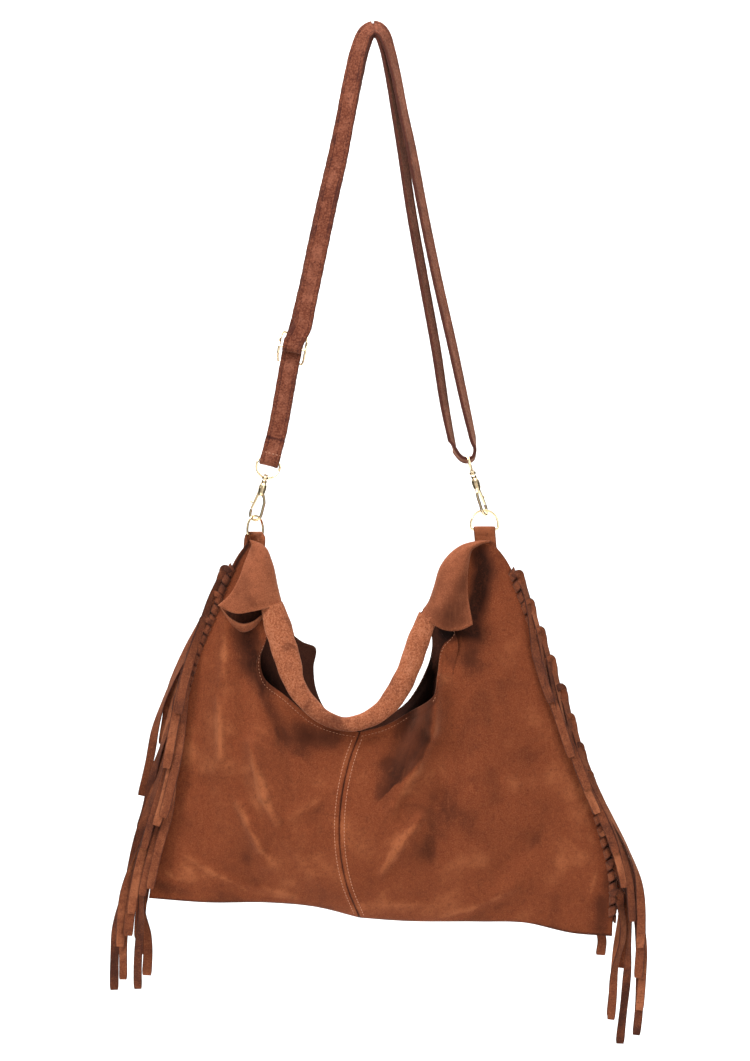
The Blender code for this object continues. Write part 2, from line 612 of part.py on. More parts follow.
def hook_body(name):
    """Rivet head, post, collar, housing with its slot, and the hook itself."""
    head_low = BOSS_HALF_HEIGHT + CLEARANCE
    post = turned(name, [(0.0022, -0.0062), (0.0028, -0.0052), (0.0028, -0.0032),
                         (0.0022, -head_low), (POST_RADIUS, -head_low), (POST_RADIUS, head_low),
                         (0.0025, head_low), (0.0025, head_low + 0.0008),
                         (0.0016, head_low + 0.0018)])
    housing = turned(name + "_housing", [(0.0019, -0.0185), (0.0037, -0.0155),
                                         (0.0041, -0.0105), (0.0038, -0.0075),
                                         (0.0026, -0.0058)])
    leg = [Vector((0.0004, 0, -0.0135)), Vector((0.0024, 0, -0.0168)),
           Vector((0.0046, 0, -0.0205)), Vector((HOOK_BEND, 0, -0.0245)),
           Vector((HOOK_BEND, 0, -BEND_CENTRE))]
    bend = [Vector((HOOK_BEND * cos(a), 0, -BEND_CENTRE - HOOK_BEND * sin(a)))
            for a in np.linspace(0, pi, ARC_STEPS)][1:]
    tip = [Vector((-HOOK_BEND, 0, -BEND_CENTRE + TIP_RISE))]
    bow = wire(name + "_bow", leg + bend + tip, HOOK_WIRE, False)
    body = combine(post, [housing, bow], "UNION")
    half_slot = GATE_THICKNESS / 2 + CLEARANCE
    slot = block(name + "_slot", (-0.006, -half_slot, -0.024), (0.0013, half_slot, -0.0078))
    bore = moved(turned(name + "_pin_bore", [(PIN_RADIUS + 0.0002, -0.01),
                                             (PIN_RADIUS + 0.0002, 0.01)], 12, lying=True), PIVOT)
    return combine(body, [slot, bore], "DIFFERENCE")


def hook_gate(name):
    """A flat sprung lever on its pin, with a thumb knob near its free end."""
    end = Vector((-HOOK_BEND, 0, -BEND_CENTRE + TIP_RISE + CLEARANCE)) - PIVOT
    along = end.normalized()
    out = Vector((along.z, 0, -along.x))
    if out.x > 0:
        out = -out
    half = 0.0014
    eye_radius = 0.0021
    rim = [along * eye_radius * cos(a) + out * eye_radius * sin(a)
           for a in np.linspace(pi / 2, 3 * pi / 2, 7)]
    rim += [along * 0.0035 - out * half, end - out * half * 0.7, end + out * half * 0.7,
            along * 0.0035 + out * half]
    shape = bmesh.new()
    lower = [shape.verts.new(point - Vector((0, GATE_THICKNESS / 2, 0))) for point in rim]
    upper = [shape.verts.new(point + Vector((0, GATE_THICKNESS / 2, 0))) for point in rim]
    for k in range(len(rim)):
        after = (k + 1) % len(rim)
        shape.faces.new((lower[k], lower[after], upper[after], upper[k]))
    shape.faces.new(lower)
    shape.faces.new(upper)
    bmesh.ops.recalc_face_normals(shape, faces=shape.faces)
    mesh = bpy.data.meshes.new(name)
    shape.to_mesh(mesh)
    shape.free()
    gate = finished(bpy.data.objects.new(name, mesh), PALE_GOLD)
    knob = turned(name + "_knob", [(0.0009, 0), (0.0009, 0.0022), (0.0015, 0.0026),
                                   (0.0015, 0.0036), (0.0009, 0.0042)], 10)
    knob.data.transform(out.to_track_quat("Z", "Y").to_matrix().to_4x4())
    moved(knob, along * (end.length * 0.72))
    combine(gate, [knob], "UNION")
    bore = turned(name + "_bore", [(PIN_RADIUS + 0.0002, -0.01), (PIN_RADIUS + 0.0002, 0.01)],
                  12, lying=True)
    return combine(gate, [bore], "DIFFERENCE")


def gate_pin(name):
    length = 0.0068
    return turned(name, [(PIN_RADIUS, -length / 2), (PIN_RADIUS, length / 2)], 12, lying=True)


def d_ring(name):
    """A D-ring with its bar at its own origin and its bow upwards."""
    half = RING_WIDTH / 2
    centre = RING_HEIGHT - half
    bow = [Vector((half * cos(a), 0, centre + half * sin(a)))
           for a in np.linspace(0, pi, 2 * ARC_STEPS)]
    corner = 0.0026
    foot = [Vector((-half, 0, corner)), Vector((-half + 0.3 * corner, 0, 0.3 * corner)),
            Vector((-half + corner, 0, 0)), Vector((half - corner, 0, 0)),
            Vector((half - 0.3 * corner, 0, 0.3 * corner)), Vector((half, 0, corner))]
    return wire(name, bow + foot, WIRE, True)


def ring_tab(name, bar, across, seated_across, lower_shift):
    """A suede tab folded over the D-ring's bar, both ends sewn between the panels."""
    reach = WIRE / 2 + CLEARANCE + SUEDE / 2
    closed = SUEDE / 2 + CLEARANCE / 2
    stations, widths = [], []

    def leg_stations(sign):
        for share in (1, 0.6, 0.3, 0.2, 0.13, 0.06, 0):
            turn = smooth((share - 0.06) * 7)
            wide = (Vector(across) * (1 - turn) + Vector(seated_across) * turn).normalized()
            normal = Vector((0, 0, 1)).cross(wide)
            apart = reach + (closed - reach) * smooth((share - 0.06) * 4)
            middle = bar + Vector(lower_shift) * MM * share - Vector((0, 0, TAB_DROP * share))
            yield middle + normal * sign * apart, wide

    for middle, wide in leg_stations(-1):
        stations.append(middle)
        widths.append(wide)
    normal = Vector((0, 0, 1)).cross(Vector(across))
    for angle in np.linspace(0, pi, 6)[1:-1]:
        stations.append(bar + Vector((0, 0, reach * sin(angle))) - normal * reach * cos(angle))
        widths.append(Vector(across))
    for middle, wide in reversed(list(leg_stations(1))):
        stations.append(middle)
        widths.append(wide)
    return ribbon(name, stations, widths, TAB_WIDTH, SUEDE, BAG_SUEDE)


def hang_hardware(side, eye_bar, pull, eye_across, hook_leg, ring_across, seated, shift):
    """Eye, hook, gate, pin, ring and tab of one side, all along the line of pull."""
    eye_bar = Vector(eye_bar) * MM
    pull = unit(pull)
    boss = eye_bar + pull * EYE_DROP
    contact = boss + pull * HOOK_REACH
    ring_bar = contact - Vector((0, 0, RING_HEIGHT))
    stand(swivel_eye(side + "_swivel_eye"), eye_bar, eye_across, -pull)
    hook = stand(hook_body(side + "_hook_body"), boss, hook_leg, -pull)
    pivot = hook.matrix_world @ PIVOT
    stand(hook_gate(side + "_hook_gate"), pivot, hook_leg, -pull)
    stand(gate_pin(side + "_gate_pin"), pivot, hook_leg, -pull)
    stand(d_ring(side + "_d_ring"), ring_bar, ring_across, (0, 0, 1))
    ring_tab(side + "_ring_tab", ring_bar, ring_across, seated, shift)


hang_hardware("left", LEFT_EYE_BAR, LEFT_PULL, LEFT_EYE_ACROSS, LEFT_HOOK_LEG,
              LEFT_RING_ACROSS, (1, 0, 0), (-2, 0, 0))
hang_hardware("right", RIGHT_EYE_BAR, RIGHT_PULL, RIGHT_EYE_ACROSS, RIGHT_HOOK_LEG,
              RIGHT_RING_ACROSS, (1, 0, 0), (2, 0, 0))


def slide_frame():
    """The strap's slide: side wires that arch forward over the strap, and a middle bar."""
    half_width, half_height = SLIDE_WIDTH / 2, SLIDE_HEIGHT / 2
    behind = STRAP_THICKNESS / 2 + CLEARANCE + WIRE / 2 - slide_bar.y
    loop = []
    sides = [(half_width, -1, 1), (-half_width, 1, -1)]
    for across, first, last in sides:
        for share in np.linspace(first, last, 9):
            narrowed = across * (1 - 0.1 * max(0, abs(share) - 0.7) / 0.3)
            depth = behind * min(1, share * share * 1.25)
            loop.append(Vector((narrowed, depth, half_height * share)))
    frame = wire("slide_frame", loop, WIRE, True)
    bar = wire("slide_frame_bar", [Vector((-half_width, 0, 0)), Vector((half_width, 0, 0))],
               WIRE, False)
    combine(frame, [bar], "UNION")
    return stand(frame, slide_bar, slide_across, slide_up)


slide_frame()


# Lacing and fringe down the sides

LACING_TOP, LACING_FOOT = 0.91, 0.04    # shares of the seam between which it is laced
STATIONS_PER_WAVE = 8
HALF_FOLD = 0.0036        # from the plane of the seams to a tail where it starts
HOMING = 0.05             # length in which a tail swings from the seam to its line of fall
TAIL_STATIONS = 7


def seam_frame(surface, share, outward):
    """A point on the side seam, the direction down the seam and the direction away from it."""
    flat, _ = surface(np.zeros(2), np.array([share, share - 0.004]))
    along = Vector((flat[1, 0] - flat[0, 0], 0, flat[1, 1] - flat[0, 1])).normalized()
    away = Vector((-along.z, 0, along.x))
    return Vector((flat[0, 0], 0, flat[0, 1])), along, away if away.x * outward > 0 else -away


def side_lacing(name, surface, outward):
    """A thong that winds round the edge of the side seam, from one face to the other and back."""
    depth = (SEAM_HALF_GAP + SUEDE / 2 + CLEARANCE + THONG_THICKNESS / 2 + 2.2 * LACING_REACH)
    waves = LACING_WAVES_PER_STRIP * FRINGE_STRIPS
    phases = np.linspace(0, 2 * pi * waves, STATIONS_PER_WAVE * waves + 1)
    middles, outwards = [], []
    for phase in phases:
        share = LACING_TOP + (LACING_FOOT - LACING_TOP) * phase / phases[-1]
        edge, _, away = seam_frame(surface, share, outward)
        round_edge = pi / 2 * cos(phase)
        middles.append(edge + away * ((LACING_STANDS + LACING_REACH) * cos(round_edge)
                                      - LACING_REACH)
                       + Vector((0, -depth * sin(round_edge), 0)))
        outwards.append(away * cos(round_edge) + Vector((0, -sin(round_edge), 0)))
    middles = np.array(middles)
    across = np.cross(np.gradient(middles, axis=0), np.array(outwards))
    return ribbon(name, middles, across, THONG_WIDTH, THONG_THICKNESS, FRINGE_SUEDE)


side_lacing("left_side_lacing", front_left, -1)
side_lacing("right_side_lacing", front_right, 1)


def fringe_tail(start, fall, end, side, step_down):
    """Stations of one tail down its line of fall, as middles and width directions."""
    fall_length = length_of(fall)
    shares = np.linspace(0, 1, 4001)
    heights = curve_at(fall, shares)[:, 1]
    first = shares[np.argmin(np.abs(heights - start.z))]
    last = shares[np.argmin(np.abs(heights - end[1]))]
    distances = np.linspace(0, (last - first) * fall_length, TAIL_STATIONS)
    line = curve_at(fall, first + distances / fall_length)
    line[:, 0] += (start.x - line[0, 0]) * (1 - smooth(distances / HOMING))
    line[:, 0] += (end[0] - line[-1, 0]) * smooth(distances / distances[-1])
    depth = HALF_FOLD + SHINGLE_PITCH * distances / step_down
    middles = [Vector((x, side * d, z)) for (x, z), d in zip(line, depth)]
    slopes = np.gradient(line, axis=0)
    across = [Vector((abs(slope[1]), 0, -slope[0] * np.sign(slope[1]))) for slope in slopes]
    return middles, across


def fringe_strip(name, index, surface, fall, ends, outward):
    """One strip doubled over the lacing, its two tails hanging before and behind the seam."""
    fall, ends = np.array(fall) * MM, np.array(ends) * MM
    share = LACING_TOP + (LACING_FOOT - LACING_TOP) * (index + 0.25) / FRINGE_STRIPS
    edge, _, away = seam_frame(surface, share, outward)
    start = edge + away * (LACING_STANDS + THONG_THICKNESS / 2 + FRINGE_WIDTH / 2)
    seam_length = length_of(LEFT_SEAM if outward < 0 else RIGHT_SEAM) * MM
    step_down = 0.95 * seam_length * (LACING_TOP - LACING_FOOT) / FRINGE_STRIPS
    front, front_across = fringe_tail(start, fall, ends[index, 0], -1, step_down)
    back, back_across = fringe_tail(start, fall, ends[index, 1], 1, step_down)
    bend = [start + HALF_FOLD * Vector((0, -cos(angle), sin(angle)))
            for angle in (pi / 4, pi / 2, 3 * pi / 4)]
    across = front_across[::-1] + [Vector((1, 0, 0))] * len(bend) + back_across
    return ribbon(name, front[::-1] + bend + back, across, FRINGE_WIDTH, FRINGE_THICKNESS,
                  FRINGE_SUEDE)


for strip in range(FRINGE_STRIPS):
    fringe_strip(f"left_fringe_{strip + 1:02d}", strip, front_left, LEFT_FALL, LEFT_ENDS, -1)
    fringe_strip(f"right_fringe_{strip + 1:02d}", strip, front_right, RIGHT_FALL, RIGHT_ENDS, 1)
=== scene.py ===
"""Looks of the fringed suede shoulder bag, hanging from the top of its strap.

Frame of model.glb: the origin is the underside of the strap at its top, +Z is up, the front faces -Y.
Outlines are in millimetres in that frame, as (x, z) seen from the front.
"""

from math import cos, pi, radians, sin

import bmesh
import bpy
import numpy as np
from mathutils import Matrix, Vector


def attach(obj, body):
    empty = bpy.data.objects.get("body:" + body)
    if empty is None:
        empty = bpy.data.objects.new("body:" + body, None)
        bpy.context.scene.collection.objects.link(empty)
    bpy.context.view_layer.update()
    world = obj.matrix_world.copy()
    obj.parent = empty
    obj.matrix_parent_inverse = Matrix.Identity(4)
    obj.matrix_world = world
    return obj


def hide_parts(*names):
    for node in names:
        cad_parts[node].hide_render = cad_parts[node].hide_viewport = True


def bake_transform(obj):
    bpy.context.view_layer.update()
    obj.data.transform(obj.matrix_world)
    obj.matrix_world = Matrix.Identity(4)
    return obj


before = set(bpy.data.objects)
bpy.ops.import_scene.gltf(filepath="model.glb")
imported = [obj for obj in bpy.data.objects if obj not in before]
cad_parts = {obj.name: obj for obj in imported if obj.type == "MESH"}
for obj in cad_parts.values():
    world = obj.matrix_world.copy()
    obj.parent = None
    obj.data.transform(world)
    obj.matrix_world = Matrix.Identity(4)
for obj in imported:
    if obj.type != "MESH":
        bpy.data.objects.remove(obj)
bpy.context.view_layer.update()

MM = 0.001
BAG = "bag"


# Panels of the bag: four pieces of soft suede about 1.6 mm thick, two at the front and two at the
# back. They are sewn face to face down the middle, turned at the mouth and laced at the sides,
# and each ear is folded over outwards, so its suede rolls into a flap.

SUEDE = 1.6 * MM
SEAM_HALF_GAP = 1.3 * MM
BAG_HALF_DEPTH = 31 * MM
ROLL_RADIUS = 4.5 * MM
TAB_ROOM = 2.4 * MM

LEFT_SEAM = [(-226, -858), (-220, -815), (-205, -746), (-194, -673), (-178, -612),
             (-162, -573), (-149, -539), (-136, -514), (-125, -500)]
RIGHT_SEAM = [(237, -896), (238, -840), (225, -784), (200, -709), (179, -644),
              (159, -589), (147, -556), (131, -520), (116, -501)]
CENTRE_SEAM = [(-15, -877), (-28, -843), (-35, -801), (-33, -755), (-26, -722), (-15, -691)]
LEFT_BASE = [(-226, -858), (-167, -862), (-105, -862), (-60, -866), (-15, -877)]
RIGHT_BASE = [(-15, -877), (25, -880), (105, -881), (148, -882), (199, -893), (237, -896)]
LEFT_RIDGE = [(-120, -501), (-110, -506.5), (-103, -526), (-98.5, -550), (-95, -566)]
RIGHT_RIDGE = [(107, -502), (96, -503), (78, -511), (63, -529), (57, -550), (51, -567), (46, -574)]
FRONT_LEFT_MOUTH = [(-95, -566), (-106, -600), (-112, -617), (-109, -637), (-89, -654),
                    (-55, -681), (-30, -689), (-15, -691)]
FRONT_RIGHT_MOUTH = [(46, -574), (66, -583), (74, -592), (63, -606), (59, -633), (56, -654),
                     (33, -671), (10, -684), (-15, -691)]
BACK_LEFT_MOUTH = [(-95, -566), (-86, -588), (-70, -603), (-58, -608), (-60, -628),
                   (-58, -650), (-45, -675), (-30, -684), (-15, -691)]
BACK_RIGHT_MOUTH = [(46, -574), (50, -587), (53, -603), (50, -625), (42, -645), (31, -662),
                    (11, -678), (-15, -691)]
LEFT_FLAP_SIDE = [(-122, -504), (-128.5, -520), (-136, -540), (-144, -554), (-156, -565)]
LEFT_FLAP_HEM = [(-95, -566), (-108, -568), (-122, -571), (-138, -573), (-156, -565)]
RIGHT_FLAP_SIDE = [(107, -503), (97, -509), (93, -524), (92, -550), (97, -584)]
RIGHT_FLAP_HEM = [(46, -574), (58, -584), (72, -590), (86, -589), (97, -584)]

# Folds: from (x, z) to (x, z), half width and height in mm. The first ones are the large drapes
LEFT_FOLDS = [(-149, -580, -155, -720, 15, 8), (-121, -700, -100, -780, 16, 7),
              (-124, -600, -106, -640, 13, -7), (-124, -785, -108, -820, 13, 5),
              (-205, -835, -160, -845, 12, 5), (-60, -700, -45, -760, 16, -5),
              (-175, -640, -185, -740, 13, -5), (-127, -506, -146, -540, 3, -2.5),
              (-149, -574, -152, -640, 5, 4.6), (-156, -660, -153, -716, 4, 3.6),
              (-123, -703, -110, -755, 4.5, 4.0), (-110, -755, -98, -778, 4.5, 3.4),
              (-135, -763, -114, -806, 4.5, 4.2), (-96, -690, -84, -740, 6, -2.6),
              (-214, -828, -195, -841, 3.5, 2.0), (-190, -815, -150, -838, 4, 2.6),
              (-150, -838, -78, -857, 4.5, 3.0), (-110, -655, -90, -698, 8, -4.0),
              (-80, -772, -38, -742, 8, 3.4), (-88, -800, -62, -832, 8, 1.8),
              (-132, -640, -128, -690, 7, -2.8), (-186, -700, -190, -770, 6, 2.0),
              (-170, -745, -160, -790, 10, -3.0), (-138, -700, -130, -745, 8, -3.2)]
RIGHT_FOLDS = [(61, -640, 54, -680, 13, 9), (54, -680, 26, -740, 17, 8),
               (104, -522, 106, -566, 12, -9), (46, -785, 25, -805, 15, 5),
               (138, -846, 60, -876, 14, 6), (207, -780, 219, -845, 13, 6),
               (110, -640, 120, -740, 26, 5), (80, -680, 70, -760, 20, -4),
               (60, -636, 57, -690, 5, 5.0), (57, -690, 40, -726, 5, 4.4),
               (40, -726, 16, -765, 6, 3.6), (34, -672, 14, -722, 10, -6.0),
               (44, -776, 6, -830, 4.5, 4.4), (138, -846, 95, -868, 4.5, 3.6),
               (95, -868, 55, -878, 4, 3.0), (222, -828, 214, -857, 5, 3.0),
               (16, -770, -6, -800, 8, 2.0), (10, -863, 44, -863, 5, 2.0),
               (176, -660, 196, -740, 8, 2.6), (150, -600, 168, -650, 9, 2.2),
               (94, -600, 130, -620, 12, 2.4), (64, -752, 52, -810, 10, -3.6),
               (160, -800, 120, -830, 12, -3.0), (120, -735, 124, -760, 12, -2.6),
               (88, -600, 84, -640, 9, 2.0)]
# Nap and painted light: a line of (x, z), how far it shades to the left and to the right of the line as
# it runs (mm), and its tone, light above zero. Light lines are mostly painted highlights on fold
# ridges; dark ones are painted shade in hollows, beside and under the flaps and in the mouth.
LEFT_PAINTED_LIGHT_AND_NAP = [([(-149, -572), (-150, -640)], 4, 5, 0.42), ([(-156, -658), (-155, -690), (-153, -720)], 4, 2.5, 0.40),
            ([(-178, -650), (-139, -648)], 13, 13, 0.18),
            ([(-123, -703), (-119, -730), (-108, -760), (-98, -778)], 3, 5, 0.42),
            ([(-135, -763), (-120, -795), (-113, -808), (-97, -825)], 3, 4, 0.45),
            ([(-114, -806), (-104, -818)], 8, 8, 0.2),
            ([(-80, -772), (-65, -765), (-45, -750), (-36, -740)], 7, 5, 0.32),
            ([(-70, -745), (-45, -735)], 12, 12, 0.14),
            ([(-213, -828), (-195, -840)], 2, 2, 0.4), ([(-195, -820), (-175, -840)], 2, 3, 0.35),
            ([(-190, -815), (-170, -828), (-140, -842), (-125, -852), (-75, -858)], 3, 3, 0.42),
            ([(-115, -845), (-75, -857)], 4, 3, 0.25), ([(-163, -735), (-178, -728)], 10, 10, 0.14),
            ([(-127, -588), (-124, -612), (-114, -642)], 12, 14, -0.6),
            ([(-127, -505), (-135, -518), (-143, -533), (-150, -547)], 1.7, 1.9, -0.95),
            ([(-143, -572), (-130, -577), (-116, -574)], 5.5, 5.5, -1.5),
            ([(-112, -655), (-98, -690), (-78, -712)], 16, 5, -0.26),
            ([(-72, -690), (-44, -700)], 14, 12, -0.4), ([(-138, -668), (-134, -702)], 8, 8, -0.14),
            ([(-215, -846), (-190, -851)], 8, 8, -0.4), ([(-58, -775), (-50, -790)], 11, 11, -0.16), (CENTRE_SEAM, 7, 7, 0.24)]
RIGHT_PAINTED_LIGHT_AND_NAP = [([(155, -580), (170, -615), (188, -665), (202, -710), (215, -750)], 3, 5, 0.32),
             ([(212, -750), (217, -812)], 8, 10, 0.30), ([(170, -655), (178, -702)], 8, 8, 0.12),
             ([(104, -513), (108, -530), (103, -553), (96, -572)], 10, 8, -1.0),
             ([(70, -594), (98, -591)], 7, 7, -0.8), ([(108, -580), (92, -612)], 16, 16, -0.3),
             ([(58, -633), (59, -650), (56, -665), (55, -680), (53, -695), (45, -715), (35, -728),
               (25, -738)], 3.0, 26, -0.72),
             ([(25, -738), (18, -760), (12, -775)], 3.0, 18, -0.2),
             ([(60, -640), (59, -680), (55, -700), (38, -728), (22, -758)], 6, 1.2, 0.22),
             ([(43, -775), (33, -790), (23, -805), (5, -830)], 3, 5, 0.5),
             ([(65, -755), (53, -808)], 14, 14, -0.13),
             ([(138, -846), (115, -860), (95, -868), (75, -873), (55, -878)], 3, 4, 0.45),
             ([(13, -863), (45, -863)], 3, 3, 0.26), ([(3, -853), (25, -840)], 4, 4, 0.16),
             ([(223, -828), (217, -845), (214, -857)], 3, 3, 0.36),
             ([(231, -838), (226, -886)], 11, 9, -0.38), ([(90, -737), (86, -748)], 9, 9, 0.16),
             ([(117, -738), (120, -752)], 12, 12, -0.2), ([(75, -665), (82, -672)], 12, 12, 0.13),
             ([(140, -610), (132, -600)], 15, 15, 0.14), ([(105, -655), (100, -675)], 14, 14, -0.13),
             ([(-10, -725), (-4, -745)], 11, 11, 0.2), (CENTRE_SEAM, 7, 7, 0.24)]
HEM_WIDTH = 7.0          # mm turned under at the mouth
SEAM_BAND = 6.5          # mm of doubled suede on each side of the middle seam


def curve_at(points, fractions):
    """Points of a smooth curve through the given ones, at fractions of its length."""
    points = np.asarray(points, float)
    steps = np.linalg.norm(np.diff(points, axis=0), axis=1)
    along = np.concatenate([[0], np.cumsum(steps)])
    slopes = np.gradient(points, along, axis=0)
    where = np.clip(np.asarray(fractions, float), 0, 1) * along[-1]
    piece = np.clip(np.searchsorted(along, where, side="right") - 1, 0, len(steps) - 1)
    span = steps[piece][..., None]
    t = (where - along[piece])[..., None] / span
    start, end = points[piece], points[piece + 1]
    return ((2 * t**3 - 3 * t**2 + 1) * start + (t**3 - 2 * t**2 + t) * span * slopes[piece]
            + (3 * t**2 - 2 * t**3) * end + (t**3 - t**2) * span * slopes[piece + 1])


def length_of(points):
    return np.linalg.norm(np.diff(np.asarray(points, float), axis=0), axis=1).sum()


def smooth(value):
    value = np.clip(value, 0, 1)
    return value * value * (3 - 2 * value)


def outline(points):
    return lambda fraction: curve_at(points, fraction)


def patch(lower, upper, first, last, u, v):
    """A surface between four curves, each a function of a fraction."""
    u, v = u[..., None], v[..., None]
    corners = ((1 - u) * (1 - v) * lower(0.0) + u * (1 - v) * lower(1.0)
               + (1 - u) * v * upper(0.0) + u * v * upper(1.0))
    flat_u, flat_v = u[..., 0], v[..., 0]
    return ((1 - v) * lower(flat_u) + v * upper(flat_u)
            + (1 - u) * first(flat_v) + u * last(flat_v) - corners)


def fold_height(flat, folds):
    """Height of the folds at points of a panel, in millimetres."""
    height = np.zeros(flat.shape[:-1])
    for x0, z0, x1, z1, half_width, rise in folds:
        start, run = np.array([x0, z0]), np.array([x1 - x0, z1 - z0])
        share = ((flat - start) @ run) / (run @ run)
        along = np.clip(share, 0, 1)
        away = np.linalg.norm(flat - start - along[..., None] * run, axis=-1)
        height += rise * np.exp(-(away / half_width) ** 2)
    return height


def unevenness(flat, seed):
    """Slight waves of a limp skin, in millimetres."""
    chance = np.random.default_rng(seed)
    height = np.zeros(flat.shape[:-1])
    for _ in range(9):
        wave = chance.normal(0, 1, 2) / chance.uniform(9, 26)
        height += chance.uniform(0.15, 0.4) * np.sin(flat @ wave + chance.uniform(0, 2 * pi))
    return height


def painted_light_and_nap_tone(flat, marks):
    """Tone of the brushed nap with painted highlights and painted shade, at points of a panel given in
    millimetres.
    """
    tone = np.zeros(flat.shape[:-1])
    patchy = 1 + 0.35 * np.sin(flat @ (0.21, 0.13)) * np.sin(flat @ (-0.11, 0.24) + 1)
    for line, left_reach, right_reach, strength in marks:
        nearest = np.full(tone.shape, np.inf)
        reach, place = np.ones(tone.shape), np.zeros(tone.shape)
        full, passed = length_of(line), 0.0
        for start, end in zip(np.array(line[:-1], float), np.array(line[1:], float)):
            run = end - start
            offset = flat - start
            along = np.clip((offset @ run) / (run @ run), 0, 1)
            away = np.linalg.norm(offset - along[..., None] * run, axis=-1)
            leftwards = run[0] * offset[..., 1] - run[1] * offset[..., 0] > 0
            closer = away < nearest
            nearest = np.where(closer, away, nearest)
            reach = np.where(closer, np.where(leftwards, left_reach, right_reach), reach)
            place = np.where(closer, (passed + along * np.linalg.norm(run)) / full, place)
            passed += np.linalg.norm(run)
        if strength > 0:
            # A painted highlight along a crease fades to its ends and has a faint halo
            fading = 0.15 + 0.85 * np.sin(pi * place) ** 0.8
            core = 0.44 * np.exp(-(nearest / (0.55 * reach)) ** 2)
            halo = 0.36 * np.exp(-(nearest / (2.6 * reach)) ** 2)
            tone += strength * fading * patchy * (core + halo)
        else:
            # Painted shade falls off away from a dark mark's line
            tone += strength * np.exp(-(nearest / reach) ** 2)
    return tone


def panel_surface(side_seam, base, ridge, mouth, folds, ear_share, seed):
    """A function of (u, v): u from the side seam to the middle seam, v from base to mouth."""
    base_curve = outline(base if base[0] == side_seam[0] else base[::-1])

    def top(u):
        u = np.asarray(u, float)
        on_ridge = curve_at(ridge, np.clip(u / ear_share, 0, 1))
        on_mouth = curve_at(mouth, np.clip((u - ear_share) / (1 - ear_share), 0, 1))
        return np.where((u < ear_share)[..., None], on_ridge, on_mouth)

    def eased_top(u, v):
        """The same line with its corner rounded, the more the further below it."""
        spread_u = np.minimum(np.minimum(u, 1 - u), 0.17) * smooth((1 - v) / 0.25)
        return sum(top(u + step * spread_u) for step in np.linspace(-1, 1, 9)) / 9

    def surface(u, v):
        flat = patch(base_curve, top, outline(side_seam), outline(CENTRE_SEAM), u, v)
        flat += v[..., None] * (eased_top(u, v) - top(u))
        rise = np.sin(pi / 2 * np.clip(v / 0.45, 0, 1)) ** 0.7 * (1 - 0.35 * smooth(2 * v - 1))
        swell = BAG_HALF_DEPTH * np.sin(pi / 2 * u) ** 0.8 * rise
        edge = np.clip(4 * u * (1 - 0.25 * u), 0, 1) * np.clip(6 * v, 0, 1)
        waves = fold_height(flat, folds) + unevenness(flat, seed)
        relief = edge * np.clip(6 * (1 - u), 0, 1) * waves * MM
        tab_room = TAB_ROOM * smooth((v - 0.86) / 0.1) * (1 - smooth(u / 0.3))
        depth = SEAM_HALF_GAP + tab_room + np.maximum(swell + relief, 0.15 * swell)
        from_middle = np.linalg.norm(flat - outline(CENTRE_SEAM)(v), axis=-1)
        band = 0.5 * MM * (1 - smooth((from_middle - SEAM_BAND + 1) / 1.6))
        groove = 1.1 * MM * np.exp(-(from_middle / 1.3) ** 2)
        return flat * MM, depth + (band - groove) * np.clip(8 * v, 0, 1)

    return surface


def facing(flat, depth, side):
    """Points in space of a panel on the front (side -1) or on the back (side 1)."""
    return np.stack([flat[..., 0], side * depth, flat[..., 1]], axis=-1)


def node(tree, kind, inputs, **settings):
    """A shader node whose inputs are values or other nodes' outputs."""
    made = tree.nodes.new("ShaderNode" + kind)
    for name, value in settings.items():
        setattr(made, name, value)
    for name, value in inputs.items():
        if isinstance(value, bpy.types.NodeSocket):
            tree.links.new(value, made.inputs[name])
        else:
            made.inputs[name].default_value = value
    return made


def shade(tree, low, high, factor):
    """Mixes two colours by a factor."""
    mixed = tree.nodes.new("ShaderNodeMix")
    mixed.data_type = "RGBA"
    for index, value in ((6, low), (7, high), (0, factor)):
        if isinstance(value, bpy.types.NodeSocket):
            tree.links.new(value, mixed.inputs[index])
        else:
            mixed.inputs[index].default_value = value
    return mixed.outputs[2]


def spread(tree, value, low, high):
    """Stretches the part of a value between low and high over 0 to 1, with soft ends."""
    return node(tree, "MapRange", {"Value": value, "From Min": low, "From Max": high},
                interpolation_type="SMOOTHSTEP").outputs["Result"]


